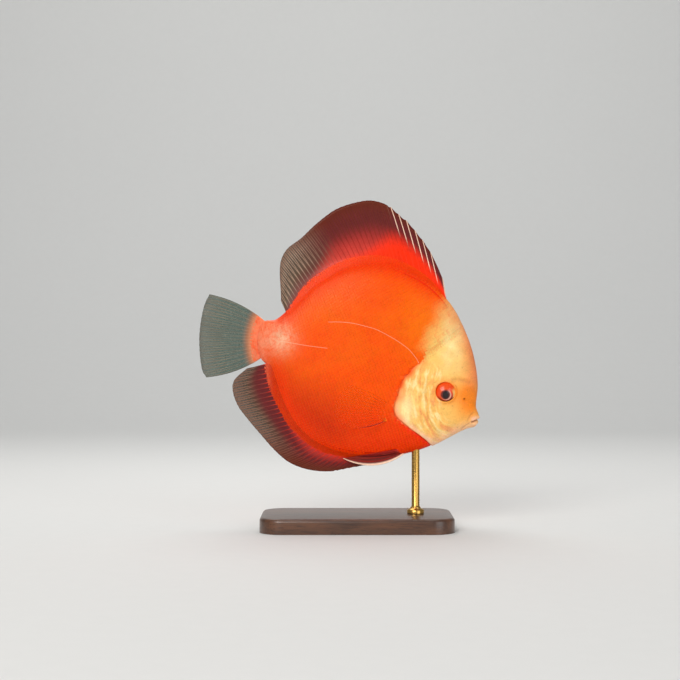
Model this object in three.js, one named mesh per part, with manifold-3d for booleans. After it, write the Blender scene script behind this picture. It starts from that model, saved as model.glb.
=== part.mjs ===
// A life-size discus fish, nose a little down as it swims, held on a plain display stand.
// Millimetres, +Z up, the head towards +X. The origin is the middle of the base's underside.
// The fish is drawn about the middle of its flank, and lifted onto the stand as one group.
import * as THREE from "three";
import { mergeVertices } from "three/addons/utils/BufferGeometryUtils.js";
import Module from "manifold-3d";

const wasm = await Module();
wasm.setup();

const GAP = 0.3; // left between pieces that touch
const RIGHT = -1; // the fish's right flank faces -Y
const LEFT = 1;

// Where the flank's middle stands above the floor and in front of the base's middle
const FLANK_HEIGHT = 108;
const FLANK_FORWARD = 5;

// The outline of the flesh from the side, without fins: [x, z, radius of the rounded rim]
const FLESH_OUTLINE = [
  [68.9, -39.6, 3.2], // upper jaw
  [67.4, -34.5, 3.6],
  [68.4, -21.5, 3.9], // brow, in front of the eye
  [66.9, -8.0, 3.4],
  [62.3, 8.0, 2.8], // forehead
  [52.6, 26.9, 2.2], // nape, where the dorsal fin starts
  [36.5, 43.2, 1.8],
  [13.5, 53.0, 1.6], // highest point of the back
  [-9.5, 51.4, 1.6],
  [-31.0, 40.2, 1.6],
  [-46.5, 24.6, 1.6],
  [-54.5, 18.3, 1.7], // top of the tail stalk
  [-62.0, 17.2, 1.3],
  [-65.8, 7.2, 1.2], // end of the tail stalk
  [-63.4, -4.6, 1.3],
  [-59.2, -9.6, 1.7], // underside of the tail stalk
  [-53.0, -27.0, 1.6],
  [-42.0, -47.2, 1.6],
  [-24.5, -60.2, 1.7],
  [-2.0, -64.9, 2.0],
  [22.0, -63.2, 2.4], // belly, where the pelvic fins grow
  [41.5, -57.4, 2.8], // throat
  [57.0, -49.8, 3.0], // chin
  [66.6, -44.8, 3.0], // lower jaw
];

// The body's axis, from the lips to the end of the tail stalk
const SNOUT = [69, -41];
const AXIS_END = [-65.8, 6.7];
// Half the body's width along that axis: [share of the axis from the snout, half width]
const HALF_WIDTHS = [
  [-0.05, 4.6],
  [0, 5.2],
  [0.08, 7.6],
  [0.2, 10.2],
  [0.33, 11.6],
  [0.46, 11.4],
  [0.62, 9.7],
  [0.76, 7.3],
  [0.88, 5.0],
  [1, 3.5],
  [1.1, 3.1],
];

// A smooth line through knots: each knot is [place along it, value, value, ...]
function through(knots, at) {
  const last = knots.length - 1;
  const end = knots.findIndex((k, i) => i > 0 && (at <= k[0] || i === last));
  const [a, b] = [knots[end - 1], knots[end]];
  const slope = (i, c) => {
    const [low, high] = [knots[Math.max(0, i - 1)], knots[Math.min(last, i + 1)]];
    return (high[c] - low[c]) / (high[0] - low[0]);
  };
  const width = b[0] - a[0];
  const t = THREE.MathUtils.clamp((at - a[0]) / width, 0, 1);
  return a.slice(1).map((_, n) => {
    const c = n + 1;
    return (
      (2 * t ** 3 - 3 * t ** 2 + 1) * a[c] +
      (t ** 3 - 2 * t ** 2 + t) * width * slope(end - 1, c) +
      (3 * t ** 2 - 2 * t ** 3) * b[c] +
      (t ** 3 - t ** 2) * width * slope(end, c)
    );
  });
}

// The flesh outline as a closed curve, sampled by its length
const OUTLINE_SAMPLES = 1440;
const outlineCurve = new THREE.CatmullRomCurve3(
  FLESH_OUTLINE.map(([x, z, rim]) => new THREE.Vector3(x, rim, z)),
  true,
  "centripetal",
);
outlineCurve.arcLengthDivisions = OUTLINE_SAMPLES;
const outline = outlineCurve.getSpacedPoints(OUTLINE_SAMPLES).slice(0, OUTLINE_SAMPLES);

function outlineAt(share) {
  const place = (((share % 1) + 1) % 1) * OUTLINE_SAMPLES;
  const low = Math.floor(place);
  return outline[low % OUTLINE_SAMPLES]
    .clone()
    .lerp(outline[(low + 1) % OUTLINE_SAMPLES], place - low);
}

// The share of the outline's length at the place nearest to a point of the side view
function shareNear(x, z) {
  const reach = outline.map((p) => Math.hypot(p.x - x, p.z - z));
  return reach.indexOf(Math.min(...reach)) / OUTLINE_SAMPLES;
}

function halfWidthAt(x, z) {
  const [dx, dz] = [AXIS_END[0] - SNOUT[0], AXIS_END[1] - SNOUT[1]];
  const share = ((x - SNOUT[0]) * dx + (z - SNOUT[1]) * dz) / (dx * dx + dz * dz);
  return through(HALF_WIDTHS, share)[0];
}

// How fast the flank falls away to the rim, so that the rim is as round as it should be
function fallPower(rimPoint) {
  const width = halfWidthAt(rimPoint.x, rimPoint.z);
  return Math.hypot(2, (2 * Math.hypot(rimPoint.x, rimPoint.z) * rimPoint.y) / width ** 2);
}

// A point of the right or left flank: share is the place round the outline, out runs from the
// flank's middle at 0 to the rim at 1, and grow moves the skin outwards
function flankPoint(share, out, grow, side) {
  const rim = outlineAt(share);
  const reach = Math.hypot(rim.x, rim.z);
  const scale = (out * (reach + grow)) / reach;
  const fall = Math.sqrt(Math.max(0, 1 - out ** fallPower(rim)));
  const width = halfWidthAt(rim.x * out, rim.z * out) + grow;
  return [rim.x * scale, side * width * fall, rim.z * scale];
}

// The outline's samples in order of their angle about the flank's middle
const outlineAngles = outline
  .map((p, i) => ({ angle: Math.atan2(p.z, p.x), share: i / OUTLINE_SAMPLES }))
  .sort((a, b) => a.angle - b.angle);

// Half the body's thickness at a point of the side view, or 0 outside the flesh
function flankHeight(x, z) {
  const angle = Math.atan2(z, x);
  const found = outlineAngles.find((s) => s.angle >= angle) ?? outlineAngles[0];
  const rim = outlineAt(found.share);
  const out = Math.hypot(x, z) / Math.hypot(rim.x, rim.z);
  return out >= 1 ? 0 : flankPoint(found.share, out, 0, LEFT)[1];
}

// Solids

function solidOf(vertices, triangles) {
  const made = new wasm.Manifold(
    new wasm.Mesh({
      numProp: 3,
      vertProperties: new Float32Array(vertices.flat()),
      triVerts: new Uint32Array(triangles.flat()),
    }),
  );
  if (made.volume() > 0) return made;
  return solidOf(
    vertices,
    triangles.map(([a, b, c]) => [a, c, b]),
  );
}

function solidFromGeometry(geometry, ...moves) {
  const g = geometry.index ? geometry.toNonIndexed() : geometry.clone();
  g.deleteAttribute("normal");
  g.deleteAttribute("uv");
  moves.forEach((m) => g.applyMatrix4(m));
  const merged = mergeVertices(g, 1e-4);
  const p = merged.attributes.position;
  const vertices = Array.from({ length: p.count }, (_, i) => [p.getX(i), p.getY(i), p.getZ(i)]);
  const index = merged.index.array;
  const triangles = [];
  for (let i = 0; i < index.length; i += 3) triangles.push([index[i], index[i + 1], index[i + 2]]);
  return solidOf(vertices, triangles);
}

function biggest(solids) {
  return solids.reduce((best, next) => (next.volume() > best.volume() ? next : best));
}

const centreOf = (solid) => {
  const { min, max } = solid.boundingBox();
  return [0, 1, 2].map((i) => (min[i] + max[i]) / 2);
};

function meshOf(name, solid, material) {
  const data = solid.getMesh();
  const positions = new Float32Array(data.numVert * 3);
  for (let i = 0; i < data.numVert; i++)
    positions.set(data.vertProperties.subarray(i * data.numProp, i * data.numProp + 3), i * 3);
  const geometry = new THREE.BufferGeometry();
  geometry.setAttribute("position", new THREE.BufferAttribute(positions, 3));
  geometry.setIndex(new THREE.BufferAttribute(data.triVerts, 1));
  geometry.computeVertexNormals();
  const mesh = new THREE.Mesh(geometry, material);
  mesh.name = name;
  return mesh;
}

// The whole of the flesh

const COLUMNS = 76; // spokes round the outline
const RINGS = 8; // from the flank's middle to the rim
const FACE_PULL = 0.34; // how much closer the spokes stand round the face

// Spokes stand closer where the outline turns round the face, at the start and end of it
function spokeShare(i) {
  const even = i / COLUMNS;
  const face = shareNear(...SNOUT);
  return even + face - (FACE_PULL / (2 * Math.PI)) * Math.sin(2 * Math.PI * even);
}

function fleshSolid(grow) {
  const vertices = [];
  const ringStart = [];
  for (let j = 0; j <= 2 * RINGS; j++) {
    ringStart.push(vertices.length);
    const side = j < RINGS ? RIGHT : LEFT;
    const steps = j < RINGS ? j : 2 * RINGS - j;
    const out = Math.sin((steps / RINGS) * (Math.PI / 2));
    const spokes = steps === 0 ? 1 : COLUMNS;
    for (let i = 0; i < spokes; i++) vertices.push(flankPoint(spokeShare(i), out, grow, side));
  }
  const triangles = [];
  for (let i = 0; i < COLUMNS; i++) {
    const next = (i + 1) % COLUMNS;
    triangles.push([0, ringStart[1] + i, ringStart[1] + next]);
    for (let j = 1; j < 2 * RINGS - 1; j++) {
      const [a, b] = [ringStart[j] + i, ringStart[j] + next];
      const [c, d] = [ringStart[j + 1] + i, ringStart[j + 1] + next];
      triangles.push([a, c, d], [a, d, b]);
    }
    const [end, last] = [ringStart[2 * RINGS], ringStart[2 * RINGS - 1]];
    triangles.push([end, last + next, last + i]);
  }
  return solidOf(vertices, triangles);
}

// A wall through the whole body, as thin as thick, along a line of the side view
const WALL_REACH = 20; // past each flank
const WALL_STEPS = 4; // for each point of its line
function wall(points, thick) {
  const line = new THREE.SplineCurve(points.map((p) => new THREE.Vector2(...p)));
  const places = line.getPoints(points.length * WALL_STEPS);
  const offset = (by) =>
    places.map((p, i) => {
      const ahead = places[Math.min(places.length - 1, i + 1)];
      const behind = places[Math.max(0, i - 1)];
      const along = ahead.clone().sub(behind).normalize();
      return new THREE.Vector2(p.x - along.y * by, p.y + along.x * by);
    });
  const near = offset(thick / 2);
  const far = offset(-thick / 2);
  return prism([...near, ...far.reverse()], -WALL_REACH, WALL_REACH);
}

// A side-view shape given as points, extruded from one y to another
function prism(points, from, to) {
  const shape = new THREE.Shape(points);
  const geometry = new THREE.ExtrudeGeometry(shape, {
    depth: to - from,
    bevelEnabled: false,
    curveSegments: 1,
  });
  return solidFromGeometry(
    geometry,
    new THREE.Matrix4().makeRotationX(Math.PI / 2),
    new THREE.Matrix4().makeTranslation(0, to, 0),
  );
}

// A round-ended tube along points [x, y, z, radius]
function taperedTube(points, sides) {
  const centres = new THREE.CatmullRomCurve3(points.map(([x, y, z]) => new THREE.Vector3(x, y, z)));
  const steps = (points.length - 1) * 2;
  const frames = centres.computeFrenetFrames(steps);
  const vertices = [];
  for (let i = 0; i <= steps; i++) {
    const place = i / steps;
    const knots = points.map((p, n) => [n / (points.length - 1), p[3]]);
    const radius = through(knots, place)[0];
    const centre = centres.getPoint(place);
    for (let k = 0; k < sides; k++) {
      const turn = (2 * Math.PI * k) / sides;
      const spoke = frames.normals[i]
        .clone()
        .multiplyScalar(Math.cos(turn) * radius)
        .addScaledVector(frames.binormals[i], Math.sin(turn) * radius);
      vertices.push(centre.clone().add(spoke).toArray());
    }
  }
  const triangles = [];
  for (let i = 0; i < steps; i++)
    for (let k = 0; k < sides; k++) {
      const next = (k + 1) % sides;
      const [a, b] = [i * sides + k, i * sides + next];
      triangles.push([a, b, b + sides], [a, b + sides, a + sides]);
    }
  for (const [ring, tip] of [
    [0, points[0]],
    [steps, points[points.length - 1]],
  ]) {
    const cap = vertices.length;
    vertices.push(tip.slice(0, 3));
    for (let k = 0; k < sides; k++) {
      const next = (k + 1) % sides;
      const edge = [ring * sides + k, ring * sides + next];
      triangles.push(ring === 0 ? [cap, edge[1], edge[0]] : [cap, edge[0], edge[1]]);
    }
  }
  return solidOf(vertices, triangles);
}

// Eyes, in sockets with a raised rim of skin
const EYE_AT = [48.0, -25.0];
const EYE_RADIUS = 6.5;
const EYE_HALF_DEPTH = 4.5;
const EYE_STANDS_OUT = 2.1;
const EYE_RIM_RADIUS = 0.7;
const EYE_RIM_SUNK = 0.1;
const EYE_SEGMENTS = 20;
const EYE_RIM_SIDES = 5;
const EYE_RIM_SEGMENTS = 24;
// The radius of the eye where it comes out of the skin
const EYE_OPENING = EYE_RADIUS * Math.sqrt(1 - (1 - EYE_STANDS_OUT / EYE_HALF_DEPTH) ** 2);

const eyeCentre = (side) => [
  EYE_AT[0],
  side * (flankHeight(...EYE_AT) + EYE_STANDS_OUT - EYE_HALF_DEPTH),
  EYE_AT[1],
];

function eyeSolid(side, grow) {
  return solidFromGeometry(
    new THREE.SphereGeometry(1, EYE_SEGMENTS, EYE_SEGMENTS / 2),
    new THREE.Matrix4().makeRotationX(Math.PI / 2),
    new THREE.Matrix4().makeScale(EYE_RADIUS + grow, EYE_HALF_DEPTH + grow, EYE_RADIUS + grow),
    new THREE.Matrix4().makeTranslation(...eyeCentre(side)),
  );
}

function eyeRim(side) {
  const [x, z] = EYE_AT;
  const reach = EYE_OPENING + GAP + EYE_RIM_RADIUS / 2;
  const slope = Math.atan((flankHeight(x + reach, z) - flankHeight(x - reach, z)) / (2 * reach));
  return solidFromGeometry(
    new THREE.TorusGeometry(reach, EYE_RIM_RADIUS, EYE_RIM_SIDES, EYE_RIM_SEGMENTS),
    new THREE.Matrix4().makeRotationX(Math.PI / 2),
    new THREE.Matrix4().makeRotationZ(side * slope),
    new THREE.Matrix4().makeTranslation(x, side * (flankHeight(x, z) - EYE_RIM_SUNK), z),
  );
}

// Mouth: a lip round each jaw, parted by a thin slit
const MOUTH_HALF_WIDTH = 3.7;
const MOUTH_CORNER = [63.4, -43.6];
const LIP_BEND = 2.66; // how far each side of the middle a lip bends back
const LIP_TUBE_SIDES = 7;

function lip(front, middle, radii) {
  const half = MOUTH_HALF_WIDTH;
  const [corner, bend, tip] = radii;
  return taperedTube(
    [
      [MOUTH_CORNER[0], -half, middle[1], corner],
      [middle[0], -LIP_BEND, middle[1], bend],
      [front[0], 0, front[1], tip],
      [middle[0], LIP_BEND, middle[1], bend],
      [MOUTH_CORNER[0], half, middle[1], corner],
    ],
    LIP_TUBE_SIDES,
  );
}

const mouthSlit = wall([[74, -40.9], [67.6, -42.3], MOUTH_CORNER], GAP);

// Nostrils, one a side, between the eye and the lips
const NOSTRIL_AT = [59.6, -29.4];
const NOSTRIL_RADIUS = 0.75;
function nostril(side) {
  const [x, z] = NOSTRIL_AT;
  return solidFromGeometry(
    new THREE.SphereGeometry(NOSTRIL_RADIUS, 8, 6),
    new THREE.Matrix4().makeTranslation(x, side * flankHeight(x, z), z),
  );
}

// Where the body is parted: behind the gill covers, before the tail stalk, and round the jaw
const GILL_LINE = [
  [66, 27],
  [54, 22.5],
  [42.5, 8],
  [32.8, -7.4],
  [23.9, -16.6],
  [19.6, -27],
  [17.6, -37.6],
  [24, -44.6],
  [31.5, -50.4],
  [38.5, -56],
  [45, -64],
];
const STALK_LINE = [
  [-43, 30],
  [-46, 14],
  [-47.5, 4],
  [-51, -8],
  [-63, -20],
];
const JAW_LINE = [
  MOUTH_CORNER,
  [60.6, -44.6],
  [57.4, -46.8],
  [54.6, -50.2],
  [53, -56],
];

const flesh = fleshSolid(0);
const fleshAndGap = fleshSolid(GAP);

const UPPER_LIP = { front: [68.6, -40.3], middle: [67, -40.9], radii: [0.7, 1.2, 1.6] };
const LOWER_LIP = { front: [67.2, -43.9], middle: [65.8, -44.6], radii: [0.7, 1.1, 1.5] };
const lips = [UPPER_LIP, LOWER_LIP].map((l) => lip(l.front, l.middle, l.radii));

const skinned = wasm.Manifold.union([flesh, ...lips, eyeRim(RIGHT), eyeRim(LEFT)]);
const hollows = [eyeSolid(RIGHT, GAP), eyeSolid(LEFT, GAP), nostril(RIGHT), nostril(LEFT)];
const cuts = [wall(GILL_LINE, GAP), wall(STALK_LINE, GAP), mouthSlit, wall(JAW_LINE, GAP)];
const fleshPieces = wasm.Manifold.difference([skinned, ...hollows, ...cuts])
  .decompose()
  .sort((a, b) => b.volume() - a.volume())
  .slice(0, 4)
  .sort((a, b) => centreOf(a)[0] - centreOf(b)[0]);
const [tailStalk, trunk, headWhole, lowerJaw] = fleshPieces;

// Gill covers: plates that stand a little above the head, in a shallow bed cut for them
const COVER_RISE = 0.55;
const COVER_DEPTH = 0.8;
const COVER_OUTLINE = [
  [33.6, -9.4],
  [37, -16.5],
  [36.3, -28],
  [37.4, -39],
  [41.6, -49.2],
  [37.5, -54.2],
  [28, -52],
  [14, -44],
  [13, -28],
  [18, -16],
];
const COVER_MIDDLE = new THREE.Vector2(27, -32);
const COVER_SEGMENTS = 36;

function coverPrism(grow) {
  const closed = [...COVER_OUTLINE, COVER_OUTLINE[0]];
  const curve = new THREE.SplineCurve(closed.map((p) => new THREE.Vector2(...p)));
  const grown = curve
    .getPoints(COVER_SEGMENTS)
    .slice(1)
    .map((p) => p.sub(COVER_MIDDLE))
    .map((p) => p.setLength(p.length() + grow).add(COVER_MIDDLE));
  return prism(grown, -WALL_REACH, WALL_REACH);
}

const coverShell = coverPrism(0)
  .intersect(fleshSolid(COVER_RISE))
  .subtract(fleshSolid(-COVER_DEPTH))
  .subtract(wall(GILL_LINE, GAP));
const COVER_FRONT = 36; // only the plates before the gill line reach this far forward
const coverPlates = coverShell.decompose().filter((s) => s.boundingBox().max[0] > COVER_FRONT);
const gillCover = (side) => biggest(coverPlates.filter((s) => Math.sign(centreOf(s)[1]) === side));
const coverBed = coverPrism(GAP).subtract(fleshSolid(-COVER_DEPTH - GAP));
const head = biggest(headWhole.subtract(coverBed).decompose());

// Fins

const ROW_CROWDING = 0.85; // below 1, the rows across a fin stand closer at its tips

// A ray fin as one closed sheet: rays stand up as ridges on both faces of the membrane.
// root and tip give the side-view place of each ray's ends, lateral its distance from the middle.
function finSolid({ rays, rows, spines = 0, notch = 0, root, tip, bow, lateral, thickness }) {
  const columns = 2 * rays - 1;
  const rightFace = [];
  const leftFace = [];
  const places = Array.from({ length: rows + 1 }, (_, j) => (j / rows) ** ROW_CROWDING);
  for (let i = 0; i < columns; i++) {
    const u = i / (columns - 1);
    const isRay = i % 2 === 0;
    const spiny = i / 2 < spines;
    const from = root(u);
    const to = tip(u);
    const across = [to[1] - from[1], from[0] - to[0]];
    for (const v of places) {
      const reach = v * (isRay || !spiny ? 1 : 1 - notch * v);
      const bend = bow(u) * 4 * reach * (1 - reach);
      const x = from[0] + (to[0] - from[0]) * reach + across[0] * bend;
      const z = from[1] + (to[1] - from[1]) * reach + across[1] * bend;
      const half = thickness(u, v, isRay) / 2;
      const y = lateral(u, v, x, z);
      rightFace.push([x, y - half, z]);
      leftFace.push([x, y + half, z]);
    }
  }
  const perColumn = rows + 1;
  const count = rightFace.length;
  const triangles = [];
  for (let i = 0; i < columns - 1; i++)
    for (let j = 0; j < rows; j++) {
      const [a, b] = [i * perColumn + j, (i + 1) * perColumn + j];
      const [c, d] = [a + count, b + count];
      triangles.push([a, b, b + 1], [a, b + 1, a + 1]);
      triangles.push([c, d + 1, d], [c, c + 1, d + 1]);
    }
  const edge = [];
  for (let i = 0; i < columns; i++) edge.push(i * perColumn);
  for (let j = 1; j <= rows; j++) edge.push((columns - 1) * perColumn + j);
  for (let i = columns - 2; i >= 0; i--) edge.push(i * perColumn + rows);
  for (let j = rows - 1; j > 0; j--) edge.push(j);
  edge.forEach((a, n) => {
    const b = edge[(n + 1) % edge.length];
    triangles.push([b, a, a + count], [b, a + count, b + count]);
  });
  return solidOf([...rightFace, ...leftFace], triangles);
}

// Fin sheets are this thick: the membrane, its rays at the root and at the tip, and the flare at
// the root where the body's scales run on to the fin
const MEMBRANE = 0.55;
const RAY_AT_ROOT = 0.55;
const RAY_AT_TIP = 0.2;
const rayed = (flare, flareReach) => (u, v, isRay) => {
  const ridge = isRay ? RAY_AT_ROOT + (RAY_AT_TIP - RAY_AT_ROOT) * v : 0;
  return MEMBRANE + ridge + flare * Math.exp(-v / flareReach);
};

const ROOT_SUNK = 2.2; // how far a fin's root starts inside the flesh
const WAVE_DORSAL = 2.2; // how far the free rear lobes lean out of the middle
const WAVE_ANAL = -1.8;
const WAVE_TAIL = 3.6;

// A root that runs along the outline from one share to another, sunk into the flesh
function rootAlong(from, to) {
  return (u) => {
    const rim = outlineAt(from + (to - from) * u);
    const reach = Math.hypot(rim.x, rim.z);
    return [rim.x * (1 - ROOT_SUNK / reach), rim.z * (1 - ROOT_SUNK / reach)];
  };
}

// Tips of the dorsal fin's rays, from its first spine to its last ray: [share of the root, x, z]
const DORSAL_TIPS = [
  [0, 46.5, 46.4],
  [0.05, 37.6, 62.4],
  [0.1, 28.5, 75.1],
  [0.2, 17.0, 87.0],
  [0.3, 7.3, 90.4],
  [0.4, -4.2, 89.7],
  [0.5, -17.6, 85.4],
  [0.6, -29.1, 77.0],
  [0.7, -38.8, 67.9],
  [0.8, -47.9, 60.6],
  [0.88, -51.6, 51],
  [1, -50.6, 30],
];
const DORSAL_SPINES = 9;
const DORSAL_RAYS = 40;
const DORSAL_START = shareNear(52.4, 28.6);
const DORSAL_END = shareNear(-49.3, 21.6);
const dorsalFin = finSolid({
  rays: DORSAL_RAYS,
  rows: 5,
  spines: DORSAL_SPINES,
  notch: 0.07,
  root: rootAlong(DORSAL_START, DORSAL_END),
  tip: (u) => through(DORSAL_TIPS, u),
  bow: () => 0.03,
  lateral: (u, v) => WAVE_DORSAL * u ** 3 * v ** 2,
  thickness: rayed(1.5, 0.07),
});

// Tips of the anal fin's rays, from its first spine to its last ray
const ANAL_TIPS = [
  [0, 10.5, -68.0],
  [0.1, -7.9, -71.2],
  [0.2, -21.2, -73.5],
  [0.3, -34.5, -72.4],
  [0.4, -46.1, -68.0],
  [0.5, -55.1, -60.4],
  [0.6, -63.4, -51.0],
  [0.7, -71.0, -42.0],
  [0.8, -77.3, -33.3],
  [0.9, -80.3, -23.6],
  [0.95, -78.8, -17.6],
  [1, -71.5, -11.2],
];
const ANAL_SPINES = 7;
const ANAL_RAYS = 37;
const ANAL_START = shareNear(14.5, -64.2);
const ANAL_END = shareNear(-60.2, -8.6);
const analFin = finSolid({
  rays: ANAL_RAYS,
  rows: 5,
  spines: ANAL_SPINES,
  notch: 0.1,
  root: rootAlong(ANAL_START, ANAL_END),
  tip: (u) => through(ANAL_TIPS, u),
  bow: (u) => -0.05 * (1 - u),
  lateral: (u, v) => WAVE_ANAL * u ** 3 * v ** 2,
  thickness: rayed(1.5, 0.08),
});

// Tail fin: root up the end of the tail stalk, tips down the fin's rear edge
const TAIL_TIPS = [
  [0, -94.5, 33.9],
  [0.1, -97.2, 28.6],
  [0.25, -99.4, 20.2],
  [0.5, -100.8, 8.2],
  [0.75, -100.3, -4.4],
  [0.9, -98.8, -12.7],
  [1, -96.4, -16.6],
];
const TAIL_ROOTS = [
  [0, -58.6, 15.4],
  [0.5, -61.2, 6.9],
  [1, -60.2, -2.6],
];
const TAIL_RAYS = 16;
const tailFin = finSolid({
  rays: TAIL_RAYS,
  rows: 6,
  root: (u) => through(TAIL_ROOTS, u),
  tip: (u) => through(TAIL_TIPS, u),
  bow: (u) => 0.07 * (0.5 - u) * 2 * Math.abs(2 * u - 1),
  lateral: (u, v) => WAVE_TAIL * v ** 2 * (0.6 + 0.4 * Math.sin(Math.PI * u)),
  thickness: rayed(1.9, 0.1),
});

// Breast fins: a small root behind each gill cover, the fan held back and a little out
const BREAST_TIPS = [
  [0, -7.9, -20.6],
  [0.2, -14.5, -24.8],
  [0.4, -18.2, -31.5],
  [0.6, -18.8, -38.2],
  [0.8, -15.2, -43.6],
  [1, -6.7, -46.8],
];
const BREAST_ROOTS = [
  [0, 15.6, -33.8],
  [1, 14.6, -41.4],
];
const BREAST_RAYS = 12;
const BREAST_SUNK = 1.6;
const BREAST_SPREAD = 9;
const BREAST_BULGE = 1.8;
const breastFin = (side) =>
  finSolid({
    rays: BREAST_RAYS,
    rows: 5,
    root: (u) => through(BREAST_ROOTS, u),
    tip: (u) => through(BREAST_TIPS, u),
    bow: (u) => 0.05 * (1 - 2 * u),
    lateral: (u, v) => {
      const rootHeight = flankHeight(...through(BREAST_ROOTS, u)) - BREAST_SUNK;
      return side * (rootHeight + BREAST_SPREAD * v + BREAST_BULGE * Math.sin(Math.PI * v));
    },
    thickness: rayed(0.9, 0.1),
  });

// Belly fins: a long spine along the lower edge and soft rays folded behind it, a fin each side
const BELLY_TIPS = [
  [0, -13.4, -65.4],
  [0.25, -11.5, -64.9],
  [0.6, -4, -63.8],
  [1, 5.4, -62.2],
];
const BELLY_ROOTS = [
  [0, 24.2, -61.9],
  [1, 20.2, -59.6],
];
const BELLY_RAYS = 6;
const BELLY_CLEAR = 1.15;
const BELLY_LEAST_OUT = 3.1;
const BELLY_SUNK = 1.2;
const BELLY_SUNK_REACH = 0.14; // the share of the fin over which it comes out of the flesh
const bellyFin = (side) =>
  finSolid({
    rays: BELLY_RAYS,
    rows: 9,
    root: (u) => through(BELLY_ROOTS, u),
    tip: (u) => through(BELLY_TIPS, u),
    bow: (u) => -0.15 * (1 - u) ** 1.5,
    lateral: (u, v, x, z) => {
      const beside = Math.max(BELLY_LEAST_OUT, flankHeight(x, z) + BELLY_CLEAR);
      const sunk = Math.max(0, 1 - v / BELLY_SUNK_REACH);
      return side * (beside - sunk * (BELLY_CLEAR + BELLY_SUNK));
    },
    thickness: rayed(0.7, 0.1),
  });

const finPiece = (solid) => biggest(solid.subtract(fleshAndGap).decompose());

// Stand: a flat base with a bevelled top edge, and one rod up to the belly
const BASE_LENGTH = 116;
const BASE_DEPTH = 66;
const BASE_HEIGHT = 9;
const BASE_CORNER = 14;
const BASE_BEVEL = 2;
const ROD_RADIUS = 2.4;
const ROD_AT = 30.6; // along the fish, between the throat and the belly fins
const COLLAR_RADIUS = 5.2;
const COLLAR_HEIGHT = 3.4;
const ROD_SEGMENTS = 20;
const CORNER_SEGMENTS = 6;

function roundedRectangle(length, depth, corner) {
  const [x, y] = [length / 2, depth / 2];
  const shape = new THREE.Shape();
  shape.moveTo(-x + corner, -y);
  shape.lineTo(x - corner, -y);
  shape.absarc(x - corner, -y + corner, corner, -Math.PI / 2, 0);
  shape.lineTo(x, y - corner);
  shape.absarc(x - corner, y - corner, corner, 0, Math.PI / 2);
  shape.lineTo(-x + corner, y);
  shape.absarc(-x + corner, y - corner, corner, Math.PI / 2, Math.PI);
  shape.lineTo(-x, -y + corner);
  shape.absarc(-x + corner, -y + corner, corner, Math.PI, Math.PI * 1.5);
  return shape;
}

function standBase() {
  const shape = roundedRectangle(
    BASE_LENGTH - 2 * BASE_BEVEL,
    BASE_DEPTH - 2 * BASE_BEVEL,
    BASE_CORNER - BASE_BEVEL,
  );
  const plate = solidFromGeometry(
    new THREE.ExtrudeGeometry(shape, {
      depth: BASE_HEIGHT - 2 * BASE_BEVEL,
      bevelThickness: BASE_BEVEL,
      bevelSize: BASE_BEVEL,
      bevelSegments: 2,
      curveSegments: CORNER_SEGMENTS,
    }),
    new THREE.Matrix4().makeTranslation(0, 0, BASE_BEVEL),
  );
  // The underside stays square-edged, so that the base lies flat
  const foot = solidFromGeometry(
    new THREE.ExtrudeGeometry(roundedRectangle(BASE_LENGTH, BASE_DEPTH, BASE_CORNER), {
      depth: BASE_BEVEL + 1,
      bevelEnabled: false,
      curveSegments: CORNER_SEGMENTS,
    }),
  );
  return plate.add(foot);
}

// The rod stands in the fish's own frame, where its top is cut to the belly
function standRod() {
  const low = BASE_HEIGHT + GAP - FLANK_HEIGHT;
  const high = -40; // well inside the belly
  const profile = [
    [0, low],
    [COLLAR_RADIUS, low],
    [COLLAR_RADIUS, low + COLLAR_HEIGHT * 0.6],
    [COLLAR_RADIUS * 0.7, low + COLLAR_HEIGHT],
    [ROD_RADIUS, low + COLLAR_HEIGHT],
    [ROD_RADIUS, high],
    [0, high],
  ].map((p) => new THREE.Vector2(...p));
  const rod = solidFromGeometry(
    new THREE.LatheGeometry(profile, ROD_SEGMENTS),
    new THREE.Matrix4().makeRotationX(Math.PI / 2),
    new THREE.Matrix4().makeTranslation(ROD_AT, 0, 0),
  );
  const pieces = rod.subtract(fleshAndGap).decompose();
  return pieces.sort((a, b) => centreOf(a)[2] - centreOf(b)[2])[0];
}

// Materials
const coat = (color, roughness, metalness = 0) =>
  new THREE.MeshStandardMaterial({ color, roughness, metalness });
const skinOrange = coat(0xf4551c, 0.38);
const faceYellow = coat(0xf6b868, 0.4);
const stalkPink = coat(0xf39b74, 0.4);
const finMaroon = coat(0x8a3430, 0.45);
const finGrey = coat(0x7d8c84, 0.4);
const finClear = coat(0xe88a5a, 0.4);
const finRed = coat(0xc23a20, 0.42);
const eyeRed = coat(0xd8401a, 0.15);
const darkWood = coat(0x3a2418, 0.35);
const brass = coat(0xb08d4a, 0.3, 1);

// The part
const part = new THREE.Group();
const fish = new THREE.Group();
fish.position.set(FLANK_FORWARD, 0, FLANK_HEIGHT);
part.add(fish);

fish.add(
  meshOf("head", head, faceYellow),
  meshOf("lower_jaw", lowerJaw, faceYellow),
  meshOf("trunk", trunk, skinOrange),
  meshOf("tail_stalk", tailStalk, stalkPink),
  meshOf("dorsal_fin", finPiece(dorsalFin), finMaroon),
  meshOf("anal_fin", finPiece(analFin), finMaroon),
  meshOf("tail_fin", finPiece(tailFin), finGrey),
  meshOf("stand_rod", standRod(), brass),
);
for (const [side, word] of [
  [RIGHT, "right"],
  [LEFT, "left"],
])
  fish.add(
    meshOf("gill_cover_" + word, gillCover(side), faceYellow),
    meshOf("eye_" + word, eyeSolid(side, 0), eyeRed),
    meshOf("pectoral_fin_" + word, finPiece(breastFin(side)), finClear),
    meshOf("pelvic_fin_" + word, finPiece(bellyFin(side)), finRed),
  );
part.add(meshOf("stand_base", standBase(), darkWood));

export default part;
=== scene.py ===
"""A life-size discus fish on a plain display stand: skin, scales, fins, eyes, stand and studio."""

import math
import random

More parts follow.
